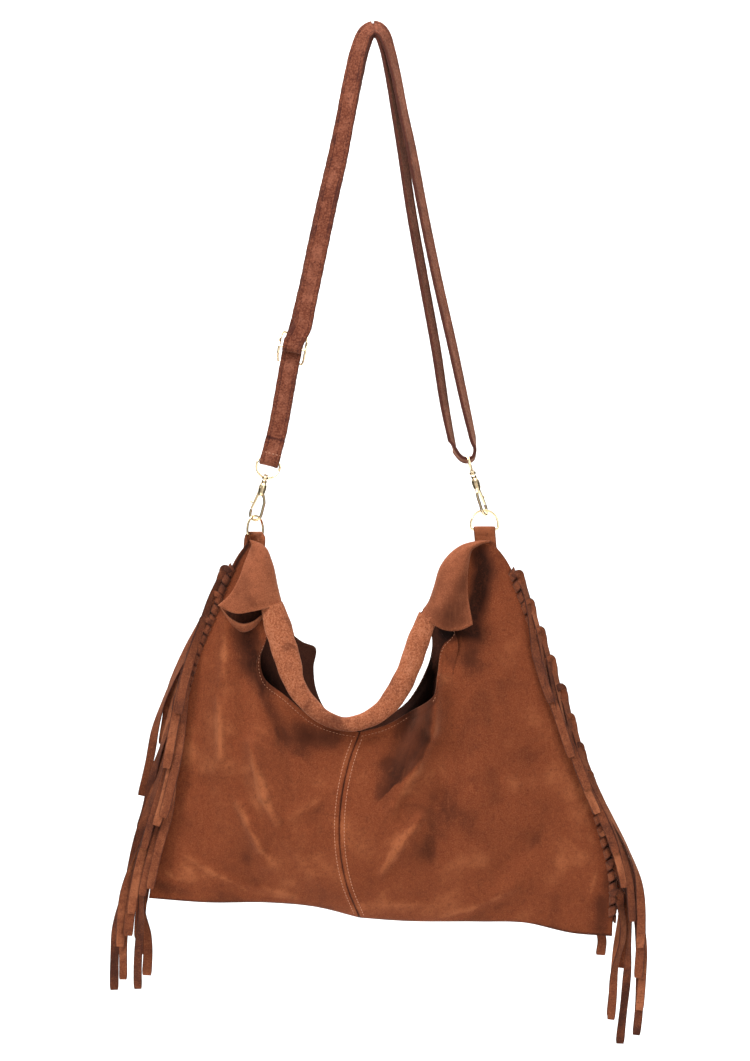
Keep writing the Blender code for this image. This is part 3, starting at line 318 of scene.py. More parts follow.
def suede_nap_and_painted_light():
    """Nap that lies light in one direction and dark in the other, with short fibres. The same input also carries
    painted highlights and painted shade, and its lowest values mix to near black.
    """
    group = bpy.data.node_groups.new("suede_nap_and_painted_light", "ShaderNodeTree")
    for name, kind, value in (("Colour", "Color", (0.2, 0.06, 0.02, 1)),
                              ("Light Nap", "Color", (0.3, 0.1, 0.04, 1)),
                              ("Dark Nap", "Color", (0.1, 0.03, 0.01, 1)),
                              ("Nap And Painted Light", "Float", 0.0), ("Patches", "Float", 18.0),
                              ("Fibre", "Float", 950.0), ("Fibre Depth", "Float", 0.0005),
                              ("Grain", "Float", 0.4)):
        socket = group.interface.new_socket(name, in_out="INPUT", socket_type="NodeSocket" + kind)
        socket.default_value = value
    group.interface.new_socket("Colour", in_out="OUTPUT", socket_type="NodeSocketColor")
    group.interface.new_socket("Normal", in_out="OUTPUT", socket_type="NodeSocketVector")
    given = group.nodes.new("NodeGroupInput").outputs
    result = group.nodes.new("NodeGroupOutput").inputs
    place = group.nodes.new("ShaderNodeTexCoord").outputs["Object"]
    patches = node(group, "TexNoise", {"Vector": place, "Scale": given["Patches"], "Detail": 5,
                                       "Roughness": 0.6, "Distortion": 0.3})
    drawn = node(group, "Mapping", {"Vector": place, "Rotation": (0, 0.5, 0),
                                    "Scale": (190, 190, 34)}).outputs["Vector"]
    strokes = node(group, "TexNoise", {"Vector": drawn, "Scale": 1.0, "Detail": 4,
                                       "Roughness": 0.6, "Distortion": 0.5})
    fibres = node(group, "TexNoise", {"Vector": place, "Scale": given["Fibre"], "Detail": 3,
                                      "Roughness": 0.7})
    clumps = node(group, "TexNoise", {"Vector": place, "Scale": 260.0, "Detail": 3,
                                      "Roughness": 0.6})
    wide = node(group, "Math", {0: patches.outputs[0], 1: 1.45, 2: -0.225},
                operation="MULTIPLY_ADD").outputs[0]
    nap_and_painted_light = node(group, "Math", {0: wide, 1: given["Nap And Painted Light"]}, operation="ADD").outputs[0]
    light = spread(group, nap_and_painted_light, 0.5, 0.96)
    dark = spread(group, nap_and_painted_light, 0.5, 0.06)
    colour = shade(group, given["Colour"], given["Light Nap"], light)
    colour = shade(group, colour, given["Dark Nap"], dark)
    # Painted deep shade: the lowest values mix towards black, for hollows, pockets and the inside of the mouth.
    painted_deep_shade = shade(group, given["Dark Nap"], (0, 0, 0, 1), 0.72)
    colour = shade(group, colour, painted_deep_shade, spread(group, nap_and_painted_light, 0.16, -0.42))
    stroked = node(group, "Math", {0: spread(group, strokes.outputs[0], 0.52, 0.78), 1: 0.18},
                   operation="MULTIPLY").outputs[0]
    colour = shade(group, colour, given["Light Nap"], stroked)
    clumped = node(group, "Math", {0: spread(group, clumps.outputs[0], 0.5, 0.28), 1: 0.4},
                   operation="MULTIPLY").outputs[0]
    colour = shade(group, colour, given["Dark Nap"], clumped)
    in_light = spread(group, nap_and_painted_light, -0.15, 0.5)
    flecks = node(group, "Math", {0: spread(group, fibres.outputs[0], 0.46, 0.7),
                                  1: given["Grain"]}, operation="MULTIPLY").outputs[0]
    flecked = node(group, "Math", {0: flecks, 1: in_light}, operation="MULTIPLY").outputs[0]
    colour = shade(group, colour, given["Light Nap"], flecked)
    sunk = node(group, "Math", {0: spread(group, fibres.outputs[0], 0.5, 0.3),
                                1: given["Grain"]}, operation="MULTIPLY").outputs[0]
    group.links.new(shade(group, colour, given["Dark Nap"], sunk), result["Colour"])
    rough = node(group, "Bump", {"Height": clumps.outputs[0], "Strength": 0.5,
                                 "Distance": 0.0008})
    short = node(group, "Bump", {"Height": fibres.outputs[0], "Strength": 0.8,
                                 "Distance": given["Fibre Depth"],
                                 "Normal": rough.outputs["Normal"]})
    group.links.new(short.outputs["Normal"], result["Normal"])
    return group


SUEDE_NAP_AND_PAINTED_LIGHT = suede_nap_and_painted_light()


def suede(name, colour, light, dark, patches=18.0, fibre=950.0, depth=0.0005, grain=0.5,
          cut_edge=None):
    """A suede finish. Its attributes: the nap attribute shifts the nap and carries painted highlights and painted
    shade, edge marks the cut edges.
    """
    made = bpy.data.materials.new(name)
    made.use_nodes = True
    tree = made.node_tree
    shader = tree.nodes["Principled BSDF"]
    shader.inputs["Roughness"].default_value = 0.92
    shader.inputs["Specular IOR Level"].default_value = 0.12
    shader.inputs["Sheen Weight"].default_value = 0.18
    shader.inputs["Sheen Roughness"].default_value = 0.45
    shader.inputs["Sheen Tint"].default_value = (1.0, 0.62, 0.42, 1)
    nap_and_painted_light = tree.nodes.new("ShaderNodeAttribute")
    nap_and_painted_light.attribute_name = "nap_and_painted_light"
    nap = tree.nodes.new("ShaderNodeGroup")
    nap.node_tree = SUEDE_NAP_AND_PAINTED_LIGHT
    for socket, value in (("Colour", (*colour, 1)), ("Light Nap", (*light, 1)),
                          ("Dark Nap", (*dark, 1)), ("Patches", patches), ("Fibre", fibre),
                          ("Fibre Depth", depth), ("Grain", grain)):
        nap.inputs[socket].default_value = value
    tree.links.new(nap_and_painted_light.outputs["Fac"], nap.inputs["Nap And Painted Light"])
    result = nap.outputs["Colour"]
    if cut_edge:
        edge = tree.nodes.new("ShaderNodeAttribute")
        edge.attribute_name = "edge"
        result = shade(tree, result, (*cut_edge, 1), edge.outputs["Fac"])
    tree.links.new(result, shader.inputs["Base Color"])
    tree.links.new(nap.outputs["Normal"], shader.inputs["Normal"])
    return made


BAG_SUEDE = suede("bag_suede", (0.170, 0.0385, 0.0133), (0.31, 0.092, 0.035),
                  (0.078, 0.018, 0.0068))
FLAP_SUEDE = suede("flap_suede", (0.240, 0.069, 0.030), (0.35, 0.118, 0.055),
                   (0.110, 0.029, 0.012), grain=0.6)
# The inside face is painted almost black: painted shade inside the bag.
INSIDE_PAINTED_SHADE_SUEDE = suede("inside_painted_shade_suede", (0.045, 0.014, 0.008), (0.08, 0.027, 0.015),
                     (0.020, 0.0065, 0.0045))


def keep_attribute(mesh, name, values):
    held = mesh.attributes.new(name, "FLOAT", "POINT")
    held.data.foreach_set("value", np.asarray(values, np.float32).reshape(-1))


def piece(name, mesh, finishes, slot, body=BAG, nodes=(), sharp=50):
    """Puts a finished piece in the scene, on its body and in place of its plain solids."""
    obj = bpy.data.objects.new(name, mesh)
    bpy.context.scene.collection.objects.link(obj)
    for finish in finishes:
        mesh.materials.append(finish)
    mesh.shade_smooth()
    mesh.set_sharp_from_angle(angle=radians(sharp))
    if body:
        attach(obj, body)
    if nodes:
        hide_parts(*nodes)
    return obj


def grid_faces(rows, columns):
    """The faces of a grid of points, row by row."""
    return [(row * columns + col, row * columns + col + 1,
             (row + 1) * columns + col + 1, (row + 1) * columns + col)
            for row in range(rows - 1) for col in range(columns - 1)]


def painted_relief_light_and_shade(points, rows, columns):
    """Painted light and shade: ridges lighter, hollows darker, by the relief against its surroundings."""
    depth = np.abs(points.reshape(rows, columns, 3)[..., 1])
    blurred = depth.copy()
    for _ in range(26):
        padded = np.pad(blurred, 1, mode="edge")
        blurred = (padded[:-2, 1:-1] + padded[2:, 1:-1] + padded[1:-1, :-2]
                   + padded[1:-1, 2:]) / 4
    return np.clip((depth - blurred) / (1.1 * MM), -1, 1)


def panel(name, surface, flap_side, flap_hem, side, columns, rows, ear_columns, hem_curl, marks,
          flap_tone):
    """One panel: its body, the roll over its ear and the flap that hangs from the roll."""
    ear_share = ear_columns / columns
    beyond = 1 - (1 - np.linspace(0, 1, columns - ear_columns + 1)[1:]) ** 1.35
    across = np.concatenate([np.linspace(0, ear_share, ear_columns + 1),
                             ear_share + (1 - ear_share) * beyond])
    u, v = np.meshgrid(across, np.linspace(0, 1, rows + 1))
    flat, depth = surface(u, v)
    left = flat[0, 0, 0] < flat[0, -1, 0]
    # Each panel stops a little short of the middle seam
    flat[:, -1, 0] += (-0.2 if left else 0.2) * MM
    # The mouth is turned under and sewn, so it stands a little proud
    from_mouth = (1 - v) * 190 * np.clip(4 * (u - ear_columns / columns) + 0.3, 0, 1)
    turned = (u > ear_columns / columns) * (1 - smooth((from_mouth - HEM_WIDTH) / 1.5))
    depth += 0.7 * MM * turned
    body = facing(flat, depth, side)
    nap_and_painted_light = 0.10 * painted_relief_light_and_shade(body, rows + 1, columns + 1) + painted_light_and_nap_tone(flat / MM, marks)
    from_middle = np.linalg.norm(flat - flat[:, -1:], axis=-1) / MM
    # Painted shade: dark in the crevice of the middle seam and along the bottom edge.
    nap_and_painted_light -= 1.1 * np.exp(-(from_middle / 0.9) ** 2) + 0.5 * (v < 0.5 / rows)
    points, lays = list(body.reshape(-1, 3)), list(nap_and_painted_light.reshape(-1))
    faces = grid_faces(rows + 1, columns + 1)
    body_faces = len(faces)

    ridge = flat[-1, :ear_columns + 1]
    ridge_depth = depth[-1, :ear_columns + 1]
    outwards = np.gradient(ridge, axis=0) @ np.array([[0, 1], [-1, 0]])
    outwards *= (1 if left else -1) / np.linalg.norm(outwards, axis=1)[:, None]
    share = np.linspace(0, 1, ear_columns + 1)
    roll = ROLL_RADIUS * (0.35 + 0.65 * smooth(share * 2))
    reach = roll * np.clip(4 * share, 0, 1)
    side_curve = curve_at(flap_side, share) * MM
    previous = [rows * (columns + 1) + col for col in range(ear_columns + 1)]
    steps = [("roll", angle) for angle in np.linspace(0, 0.75 * pi, 10)[1:]]
    steps += [("flap", where) for where in np.linspace(0, 1, 44)]
    # Painted light and shade on the ear: the roll a little lighter, the flap lighter along its hem and curled edge
    # and darker in the hollow before the curl.
    for kind, where in steps:
        if kind == "roll":
            place = ridge + outwards * (reach * sin(where))[:, None]
            proud = ridge_depth + roll * (1 - cos(where))
            tone = flap_tone + 0.05 * np.ones(ear_columns + 1)
        else:
            hem = curve_at(flap_hem, where) * MM
            straight = ridge * (1 - where) + side_curve * where
            last = ridge[-1] * (1 - where) + side_curve[-1] * where
            place = straight + (hem - last) * (share ** 2)[:, None]
            crown = 0.009 * share ** 0.7 * sin(pi * where ** 0.8)
            fall = 0.004 * share * where
            sag = 0.0011 * np.sin(9 * where + 5 * share) * share
            curl = hem_curl * smooth((share - 0.86) / 0.14) * sin(pi * min(1, where * 1.1))
            proud = ridge_depth + 2 * roll + crown + fall + sag - curl
            tone = flap_tone + 0.1 * np.sin(7 * where + 4 * share) * np.sin(5 * share + 1)
            tone += 0.2 * smooth((where - 0.93) / 0.07) + 0.16 * smooth((share - 0.95) / 0.05)
            tone -= 0.3 * np.exp(-((share - 0.84) / 0.11) ** 2 - ((where - 0.45) / 0.2) ** 2)
        current = list(range(len(points), len(points) + ear_columns + 1))
        points.extend(facing(place, proud, side))
        lays.extend(np.broadcast_to(tone, ear_columns + 1))
        faces += [(previous[k], previous[k + 1], current[k + 1], current[k])
                  for k in range(ear_columns)]
        previous = current
    if (side < 0) != left:
        faces = [face[::-1] for face in faces]
    mesh = bpy.data.meshes.new(name)
    mesh.from_pydata([tuple(point) for point in points], [], faces)
    keep_attribute(mesh, "nap_and_painted_light", lays)
    obj = piece(name, mesh, [BAG_SUEDE, INSIDE_PAINTED_SHADE_SUEDE, FLAP_SUEDE, FLAP_SUEDE], "bag_suede",
                nodes=[name_of_node(name)])
    # The flap shows the leather's other face
    mesh.polygons.foreach_set("material_index",
                              [0] * body_faces + [2] * (len(faces) - body_faces))
    wall = obj.modifiers.new("thickness", "SOLIDIFY")
    wall.thickness = SUEDE
    wall.offset = 0
    wall.material_offset = 1
    wall.use_rim = True
    wall.material_offset_rim = 0
    return obj


def name_of_node(name):
    return name.replace("_suede", "")


front_left = panel_surface(LEFT_SEAM, LEFT_BASE, LEFT_RIDGE, FRONT_LEFT_MOUTH, LEFT_FOLDS,
                           5 / 14, 3)
front_right = panel_surface(RIGHT_SEAM, RIGHT_BASE, RIGHT_RIDGE, FRONT_RIGHT_MOUTH,
                            RIGHT_FOLDS, 5 / 14, 5)
back_left = panel_surface(LEFT_SEAM, LEFT_BASE, LEFT_RIDGE, BACK_LEFT_MOUTH, LEFT_FOLDS,
                          4 / 11, 7)
back_right = panel_surface(RIGHT_SEAM, RIGHT_BASE, RIGHT_RIDGE, BACK_RIGHT_MOUTH, RIGHT_FOLDS,
                           4 / 11, 9)
panel("front_left_panel_suede", front_left, LEFT_FLAP_SIDE, LEFT_FLAP_HEM, -1, 126, 130, 45,
      0.004, LEFT_PAINTED_LIGHT_AND_NAP, 0.02)
panel("front_right_panel_suede", front_right, RIGHT_FLAP_SIDE, RIGHT_FLAP_HEM, -1, 126, 130, 45,
      0.002, RIGHT_PAINTED_LIGHT_AND_NAP, -0.2)
panel("back_left_panel_suede", back_left, LEFT_FLAP_SIDE, LEFT_FLAP_HEM, 1, 99, 100, 36, 0.004,
      LEFT_PAINTED_LIGHT_AND_NAP, 0.02)
panel("back_right_panel_suede", back_right, RIGHT_FLAP_SIDE, RIGHT_FLAP_HEM, 1, 99, 100, 36,
      0.002, RIGHT_PAINTED_LIGHT_AND_NAP, -0.2)


def depth_under(surface, path):
    """Depth of a panel's middle surface under points (x, z) in millimetres."""
    u, v = np.meshgrid(np.linspace(0, 1, 121), np.linspace(0, 1, 121))
    flat, depth = surface(u, v)
    flat, depth = flat.reshape(-1, 2) / MM, depth.reshape(-1)
    found = [depth[np.linalg.norm(flat - place, axis=1).argmin()] for place in path]
    padded = np.pad(found, 4, mode="edge")
    return np.convolve(padded, np.ones(9) / 9, mode="valid")


# The turned edge of the left ear's inner layer shows as a lip below the flap's hem
LIP_LINE = [(-154, -567), (-151, -571), (-143, -579), (-131, -584), (-121, -581), (-113, -575),
            (-107, -571)]
LIP_STANDS = [1.0, 3.0, 5.5, 6.5, 6.0, 4.5, 2.5]      # mm before the panel, along that line
# Its section: drop below the line (mm), share of how far it stands, tone; the tone paints shade where the lip
# meets the panel and a highlight along its crest
LIP_SECTION = [(-0.6, 0.05, -1.5), (-1.0, 0.45, -1.2), (-0.8, 0.8, -0.1), (0.0, 1.0, 0.4),
               (1.3, 1.0, 0.3), (2.6, 0.8, 0.1), (4.2, 0.5, 0.0), (6.0, 0.22, -0.05),
               (8.0, -0.05, -0.1)]


def ear_lip(name, surface, side):
    share = np.linspace(0, 1, 48)
    path = curve_at(LIP_LINE, share)
    stands = curve_at(np.array([LIP_STANDS]).T, share)[:, 0] * MM
    base = depth_under(surface, path) + SUEDE / 2
    thinned = np.sin(pi * np.clip(share, 0.03, 0.97)) ** 0.6
    points, tones = [], []
    for drop, stand, tone in LIP_SECTION:
        place = path - np.stack([0 * share, drop * thinned], axis=1)
        points.append(facing(place * MM, base + stands * stand, side))
        tones.append(np.full(len(share), tone))
    mesh = bpy.data.meshes.new(name)
    faces = grid_faces(len(LIP_SECTION), len(share))
    mesh.from_pydata([tuple(point) for point in np.concatenate(points)], [], faces)
    keep_attribute(mesh, "nap_and_painted_light", np.concatenate(tones))
    if mesh.polygons[len(faces) // 2].normal.y * side < 0:
        mesh.flip_normals()
    lip = piece(name, mesh, [FLAP_SUEDE], "bag_suede")
    wall = lip.modifiers.new("thickness", "SOLIDIFY")
    wall.thickness = 0.8 * MM
    wall.offset = -1


ear_lip("front_left_ear_lip", front_left, -1)
ear_lip("back_left_ear_lip", back_left, 1)


# Stitches: light tan thread, 0.7 mm thick, in two rows beside the middle seam and one along the
# turned mouth. Each stitch is a short bead that sinks into the nap at both ends.

STITCH_PITCH = 3.4 * MM
STITCH_LENGTH = 2.5 * MM
THREAD_RADIUS = 0.42 * MM


def thread_finish():
    made = bpy.data.materials.new("tan_thread")
    made.use_nodes = True
    tree = made.node_tree
    shader = tree.nodes["Principled BSDF"]
    shader.inputs["Roughness"].default_value = 0.55
    shader.inputs["Sheen Weight"].default_value = 0.2
    place = tree.nodes.new("ShaderNodeTexCoord").outputs["Object"]
    strands = node(tree, "TexNoise", {"Vector": place, "Scale": 1500.0, "Detail": 2})
    colour = shade(tree, (0.36, 0.13, 0.062, 1), (0.58, 0.26, 0.14, 1),
                   spread(tree, strands.outputs[0], 0.35, 0.65))
    tree.links.new(colour, shader.inputs["Base Color"])
    bump = node(tree, "Bump", {"Height": strands.outputs[0], "Strength": 0.4,
                               "Distance": 0.0002})
    tree.links.new(bump.outputs["Normal"], shader.inputs["Normal"])
    return made


THREAD = thread_finish()


def stitch_tree():
    """Beads of thread along a curve, turned to follow it."""
    tree = bpy.data.node_groups.new("row_of_stitches", "GeometryNodeTree")
    tree.interface.new_socket("Path", in_out="INPUT", socket_type="NodeSocketGeometry")
    sizes = {}
    for name, value in (("Pitch", STITCH_PITCH), ("Length", STITCH_LENGTH),
                        ("Radius", THREAD_RADIUS)):
        socket = tree.interface.new_socket(name, in_out="INPUT", socket_type="NodeSocketFloat")
        socket.default_value = value
        sizes[name] = socket.identifier
    tree.interface.new_socket("Stitches", in_out="OUTPUT", socket_type="NodeSocketGeometry")
    given = tree.nodes.new("NodeGroupInput").outputs
    result = tree.nodes.new("NodeGroupOutput").inputs
    spaced = tree.nodes.new("GeometryNodeCurveToPoints")
    spaced.mode = "LENGTH"
    tree.links.new(given["Path"], spaced.inputs["Curve"])
    tree.links.new(given["Pitch"], spaced.inputs["Length"])
    bead = tree.nodes.new("GeometryNodeMeshUVSphere")
    bead.inputs["Segments"].default_value = 6
    bead.inputs["Rings"].default_value = 5
    bead.inputs["Radius"].default_value = 1.0
    size = tree.nodes.new("ShaderNodeCombineXYZ")
    half = tree.nodes.new("ShaderNodeMath")
    half.operation = "MULTIPLY"
    half.inputs[1].default_value = 0.5
    tree.links.new(given["Length"], half.inputs[0])
    tree.links.new(given["Radius"], size.inputs["X"])
    tree.links.new(given["Radius"], size.inputs["Y"])
    tree.links.new(half.outputs[0], size.inputs["Z"])
    placed = tree.nodes.new("GeometryNodeInstanceOnPoints")
    tree.links.new(spaced.outputs["Points"], placed.inputs["Points"])
    tree.links.new(bead.outputs["Mesh"], placed.inputs["Instance"])
    tree.links.new(spaced.outputs["Rotation"], placed.inputs["Rotation"])
    tree.links.new(size.outputs[0], placed.inputs["Scale"])
    real = tree.nodes.new("GeometryNodeRealizeInstances")
    tree.links.new(placed.outputs["Instances"], real.inputs[0])
    thread = tree.nodes.new("GeometryNodeSetMaterial")
    thread.inputs["Material"].default_value = THREAD
    tree.links.new(real.outputs[0], thread.inputs["Geometry"])
    tree.links.new(thread.outputs[0], result["Stitches"])
    return tree, sizes


STITCH_TREE, STITCH_SOCKETS = stitch_tree()


def stitches(name, rows, body=BAG, slot="bag_suede", pitch=STITCH_PITCH, length=STITCH_LENGTH,
             radius=THREAD_RADIUS):
    """Rows of stitches along lists of points, as one mesh."""
    paths = bpy.data.curves.new(name, "CURVE")
    paths.dimensions = "3D"
    for row in rows:
        line = paths.splines.new("POLY")
        line.points.add(len(row) - 1)
        for point, place in zip(line.points, row):
            point.co = (*place, 1)
    drawn = bpy.data.objects.new(name + "_path", paths)
    bpy.context.scene.collection.objects.link(drawn)
    sewn = drawn.modifiers.new("stitches", "NODES")
    sewn.node_group = STITCH_TREE
    for socket, value in (("Pitch", pitch), ("Length", length), ("Radius", radius)):
        sewn[STITCH_SOCKETS[socket]] = float(value)
    graph = bpy.context.evaluated_depsgraph_get()
    mesh = bpy.data.meshes.new_from_object(drawn.evaluated_get(graph))
    bpy.data.objects.remove(drawn, do_unlink=True)
    mesh.materials.clear()
    return piece(name, mesh, [THREAD], slot, body=body)


def row_on(surface, side, u_of_v, fractions, proud=SUEDE / 2):
    """A line of points on a panel's outer face."""
    v = np.asarray(fractions, float)
    flat, depth = surface(u_of_v(v), v)
    return facing(flat, depth + proud, side)


def beside_middle(surface, distance):
    """The u of a line at a distance (mm) from the middle seam, as a function of v."""
    def place(v):
        near, _ = surface(np.full_like(v, 0.95), v)
        middle, _ = surface(np.ones_like(v), v)
        width = np.linalg.norm(near - middle, axis=-1) / 0.05
        return 1 - distance * MM / width
    return place


ROW_FROM_MIDDLE = 4.9
heights = np.linspace(0.02, 0.985, 160)
for row_name, pair, facing_side in (("front", (front_left, front_right), -1),
                                    ("back", (back_left, back_right), 1)):
    stitches(row_name + "_middle_seam_stitches",
             [row_on(surface, facing_side, beside_middle(surface, ROW_FROM_MIDDLE), heights)
              for surface in pair])


def below_mouth(surface, distance, ear_share, mouth, side):
    """A line of points at a distance (mm) below the mouth's edge."""
    u = np.linspace(ear_share + 0.02, 0.985, 120)
    v = np.full_like(u, 1.0)
    for _ in range(3):
        flat, _ = surface(u, v)
        edge = curve_at(mouth, (u - ear_share) / (1 - ear_share))
        away = np.linalg.norm(flat / MM - edge, axis=-1)
        v -= (distance - away) / 190
    flat, depth = surface(u, v)
    return facing(flat, depth + SUEDE / 2 + 0.6 * MM, side)


stitches("mouth_hem_stitches",
         [below_mouth(front_left, 5, 5 / 14, FRONT_LEFT_MOUTH, -1),
          below_mouth(front_right, 5, 5 / 14, FRONT_RIGHT_MOUTH, -1),
          below_mouth(back_left, 5, 4 / 11, BACK_LEFT_MOUTH, 1),
          below_mouth(back_right, 5, 4 / 11, BACK_RIGHT_MOUTH, 1)], radius=0.27 * MM)


# Handles: each is one strip of coarser suede rolled round itself, slim at the bottom of the loop
# and pressed flat where its ends are sewn to the ears. A seam runs along its inner edge.

HANDLE_LINE = [(-103, -564.5, 20, 24.0), (-99, -579, 24.5, 25), (-92, -602, 26.5, 26.5),
               (-86, -621, 25, 28.5), (-81, -639, 21.5, 30), (-75, -651, 19.5, 31),
               (-66, -662, 17.5, 32), (-53, -674, 16, 33), (-30, -682.5, 14.5, 33),
               (-1, -674.5, 18, 32.5), (12, -664, 20.5, 32), (23.5, -648, 22, 30.5),
               (34.5, -625.5, 22, 28.5), (42, -604, 21.5, 27), (48, -588, 20.5, 26),
               (53, -575.5, 18.5, 26)]
HANDLE_DEPTH = 12 * MM
HANDLE_SIDES = 28
HANDLE_SECTIONS = 150

HANDLE_SUEDE = suede("handle_suede", (0.31, 0.094, 0.041), (0.47, 0.176, 0.090),
                     (0.125, 0.033, 0.015), patches=40.0, fibre=620.0, depth=0.0009, grain=0.75)


def closed_skin(name, rings, closed_ends=True):
    """A mesh through rings of points, with both ends closed."""
    rings = np.asarray(rings)
    count, sides = rings.shape[:2]
    faces = [(i * sides + k, i * sides + (k + 1) % sides,
              (i + 1) * sides + (k + 1) % sides, (i + 1) * sides + k)
             for i in range(count - 1) for k in range(sides)]
    if closed_ends:
        faces += [tuple(range(sides)), tuple(range((count - 1) * sides, count * sides))]
    mesh = bpy.data.meshes.new(name)
    mesh.from_pydata([tuple(point) for point in rings.reshape(-1, 3)], [], faces)
    shell = bmesh.new()
    shell.from_mesh(mesh)
    bmesh.ops.recalc_face_normals(shell, faces=shell.faces)
    shell.to_mesh(mesh)
    shell.free()
    return mesh


def handle(name, side, drop):
    """A tube of oval sections with a seam ridge, flattened towards its ends."""
    share = np.linspace(0, 1, HANDLE_SECTIONS)
    line = curve_at(HANDLE_LINE, share)
    middles = facing(line[:, :2] * MM, line[:, 3] * MM, side)
    middles[:, 2] -= drop * np.sin(pi * share)
    along = np.gradient(middles, axis=0)
    across = np.stack([along[:, 2], 0 * share, -along[:, 0]], axis=1)
    across /= np.linalg.norm(across, axis=1)[:, None]
    flatness = smooth(np.maximum(1 - share / 0.16, (share - 0.9) / 0.1))
    lump = 1 + 0.025 * np.sin(37 * share) + 0.02 * np.sin(83 * share + 1)
    angles = np.linspace(0, 2 * pi, HANDLE_SIDES, endpoint=False)
    rings, lays = [], []
    for index, middle in enumerate(middles):
        half_width = line[index, 2] * MM / 2 * lump[index]
        half_depth = HANDLE_DEPTH / 2 * (1 - 0.42 * flatness[index]) * lump[index]
        ridge = 1 + 0.07 * np.exp(-((angles - 2.2 * pi / 2 - 0.4) / 0.22) ** 2)
        ring = (middle + across[index] * (half_width * ridge * np.cos(angles))[:, None]
                + np.array([0, side, 0]) * (half_depth * ridge * np.sin(angles))[:, None])
        rings.append(ring)
        lays.append(0.05 * np.sin(21 * share[index] + angles) + 0.12 * (ridge > 1.03)
                    - 0.2 * sin(pi * share[index]) ** 2)
    mesh = closed_skin(name, rings)
    keep_attribute(mesh, "nap_and_painted_light", np.concatenate(lays))
    return piece(name, mesh, [HANDLE_SUEDE], "bag_suede",
                 nodes=["front_handle" if side < 0 else "back_handle"])


handle("front_rolled_handle", -1, 0.0)
handle("back_rolled_handle", 1, 0.004)


# Ring tabs: a strip of the bag's suede goes over each ring's bar, and both its ends are sewn
# between the panels at the top of the side seam.

WIRE = 2.5 * MM
CLEARANCE = 0.4 * MM
EYE_DROP, HOOK_REACH, RING_HEIGHT = 17 * MM, 39 * MM, 19 * MM
LEFT_EYE_BAR, LEFT_PULL = Vector((-105.5, 0, -421.5)) * MM, Vector((-0.254, 0, -0.967))
RIGHT_EYE_BAR, RIGHT_PULL = Vector((92.5, 0, -417)) * MM, Vector((0.302, 0, -0.953))
TAB_WIDTH, TAB_DROP = 21.5 * MM, 24 * MM


def flat_section(width, thickness, corner=0.35, rise=0.0, band=0.0, points=13):
    """The section of a flat strip: rounded cut edges, and bands along them where it is folded."""
    t = np.linspace(-1, 1, points)
    t = np.sign(t) * np.abs(t) ** 0.75
    rounded = np.sqrt(np.clip(1 - ((np.abs(t) - 1 + corner) / corner).clip(0) ** 2, 0, 1))
    body = 1 - (rise * (1 - smooth((np.abs(t) - 1 + band) / 0.12)) if band else 0)
    half = thickness / 2 * body * (0.45 + 0.55 * rounded)
    upper = np.stack([t * width / 2, half], axis=1)
    lower = np.stack([t[::-1] * width / 2, -half[::-1]], axis=1)
    return np.concatenate([upper, lower])


def strip(name, middles, across, section, finish, slot, nodes=(), body=BAG, twist=None,
          widths=None, depths=None, nap_and_painted_light=0.0, edge_from=0.9, banded=False):
    """A strip whose section travels along its middle line, with its cut edges marked."""
    middles, across = np.asarray(middles, float), np.asarray(across, float)
    along = np.gradient(middles, axis=0)
    along /= np.linalg.norm(along, axis=1)[:, None]
    across = across - along * np.sum(across * along, axis=1)[:, None]
    across /= np.linalg.norm(across, axis=1)[:, None]
    normal = np.cross(along, across)
    if twist is not None:
        turn = np.asarray(twist)[:, None]
        across, normal = (across * np.cos(turn) + normal * np.sin(turn),
                          normal * np.cos(turn) - across * np.sin(turn))
    scale = np.ones(len(middles)) if widths is None else np.asarray(widths)
    deep = np.ones(len(middles)) if depths is None else np.asarray(depths)
    rings = (middles[:, None] + across[:, None] * (scale[:, None] * section[None, :, 0])[..., None]
             + normal[:, None] * (deep[:, None] * section[None, :, 1])[..., None])
    mesh = closed_skin(name, rings)
    reach = np.abs(section[:, 0]) / np.abs(section[:, 0]).max()
    edge = smooth((reach - edge_from) / (1 - edge_from))
    keep_attribute(mesh, "edge", np.tile(edge, len(middles)))
    lays = np.broadcast_to(np.asarray(nap_and_painted_light, float).reshape(-1, 1) if np.ndim(nap_and_painted_light) else nap_and_painted_light,
                           (len(middles), len(section)))
    if banded:
        # The middle is a little lighter and the folded bands darker, with a line of painted shade at the step
        # between them.
        lays = lays + np.where(reach < 0.55, 0.1, -0.12) - 0.2 * (np.abs(reach - 0.595) < 0.03)
    keep_attribute(mesh, "nap_and_painted_light", lays)
    return piece(name, mesh, [finish], slot, body=body, nodes=nodes)


TAB_SUEDE = suede("tab_suede", (0.245, 0.070, 0.029), (0.31, 0.10, 0.042),
                  (0.085, 0.022, 0.009), cut_edge=(0.10, 0.028, 0.013))


def tab_line(bar, across, shift):
    """The fold over the bar, and both legs down between the panels, turning to face the front."""
    reach = WIRE / 2 + CLEARANCE + SUEDE / 2
    closed = SUEDE / 2 + CLEARANCE / 2
    across = Vector(across).normalized()

    def leg(sign):
        for share in np.linspace(1, 0, 22):
            turn = smooth((share - 0.06) * 7)
            wide = (across * (1 - turn) + Vector((1, 0, 0)) * turn).normalized()
            normal = Vector((0, 0, 1)).cross(wide)
            apart = reach + (closed - reach) * smooth((share - 0.06) * 4)
            middle = bar + Vector((shift * MM * share, 0, -TAB_DROP * share))
            yield middle + normal * sign * apart, wide

    stations = list(leg(-1))
    normal = Vector((0, 0, 1)).cross(across)
    for angle in np.linspace(0, pi, 14)[1:-1]:
        stations.append((bar + Vector((0, 0, reach * sin(angle))) - normal * reach * cos(angle),
                         across))
    stations += reversed(list(leg(1)))
    return [tuple(place) for place, _ in stations], [tuple(wide) for _, wide in stations]


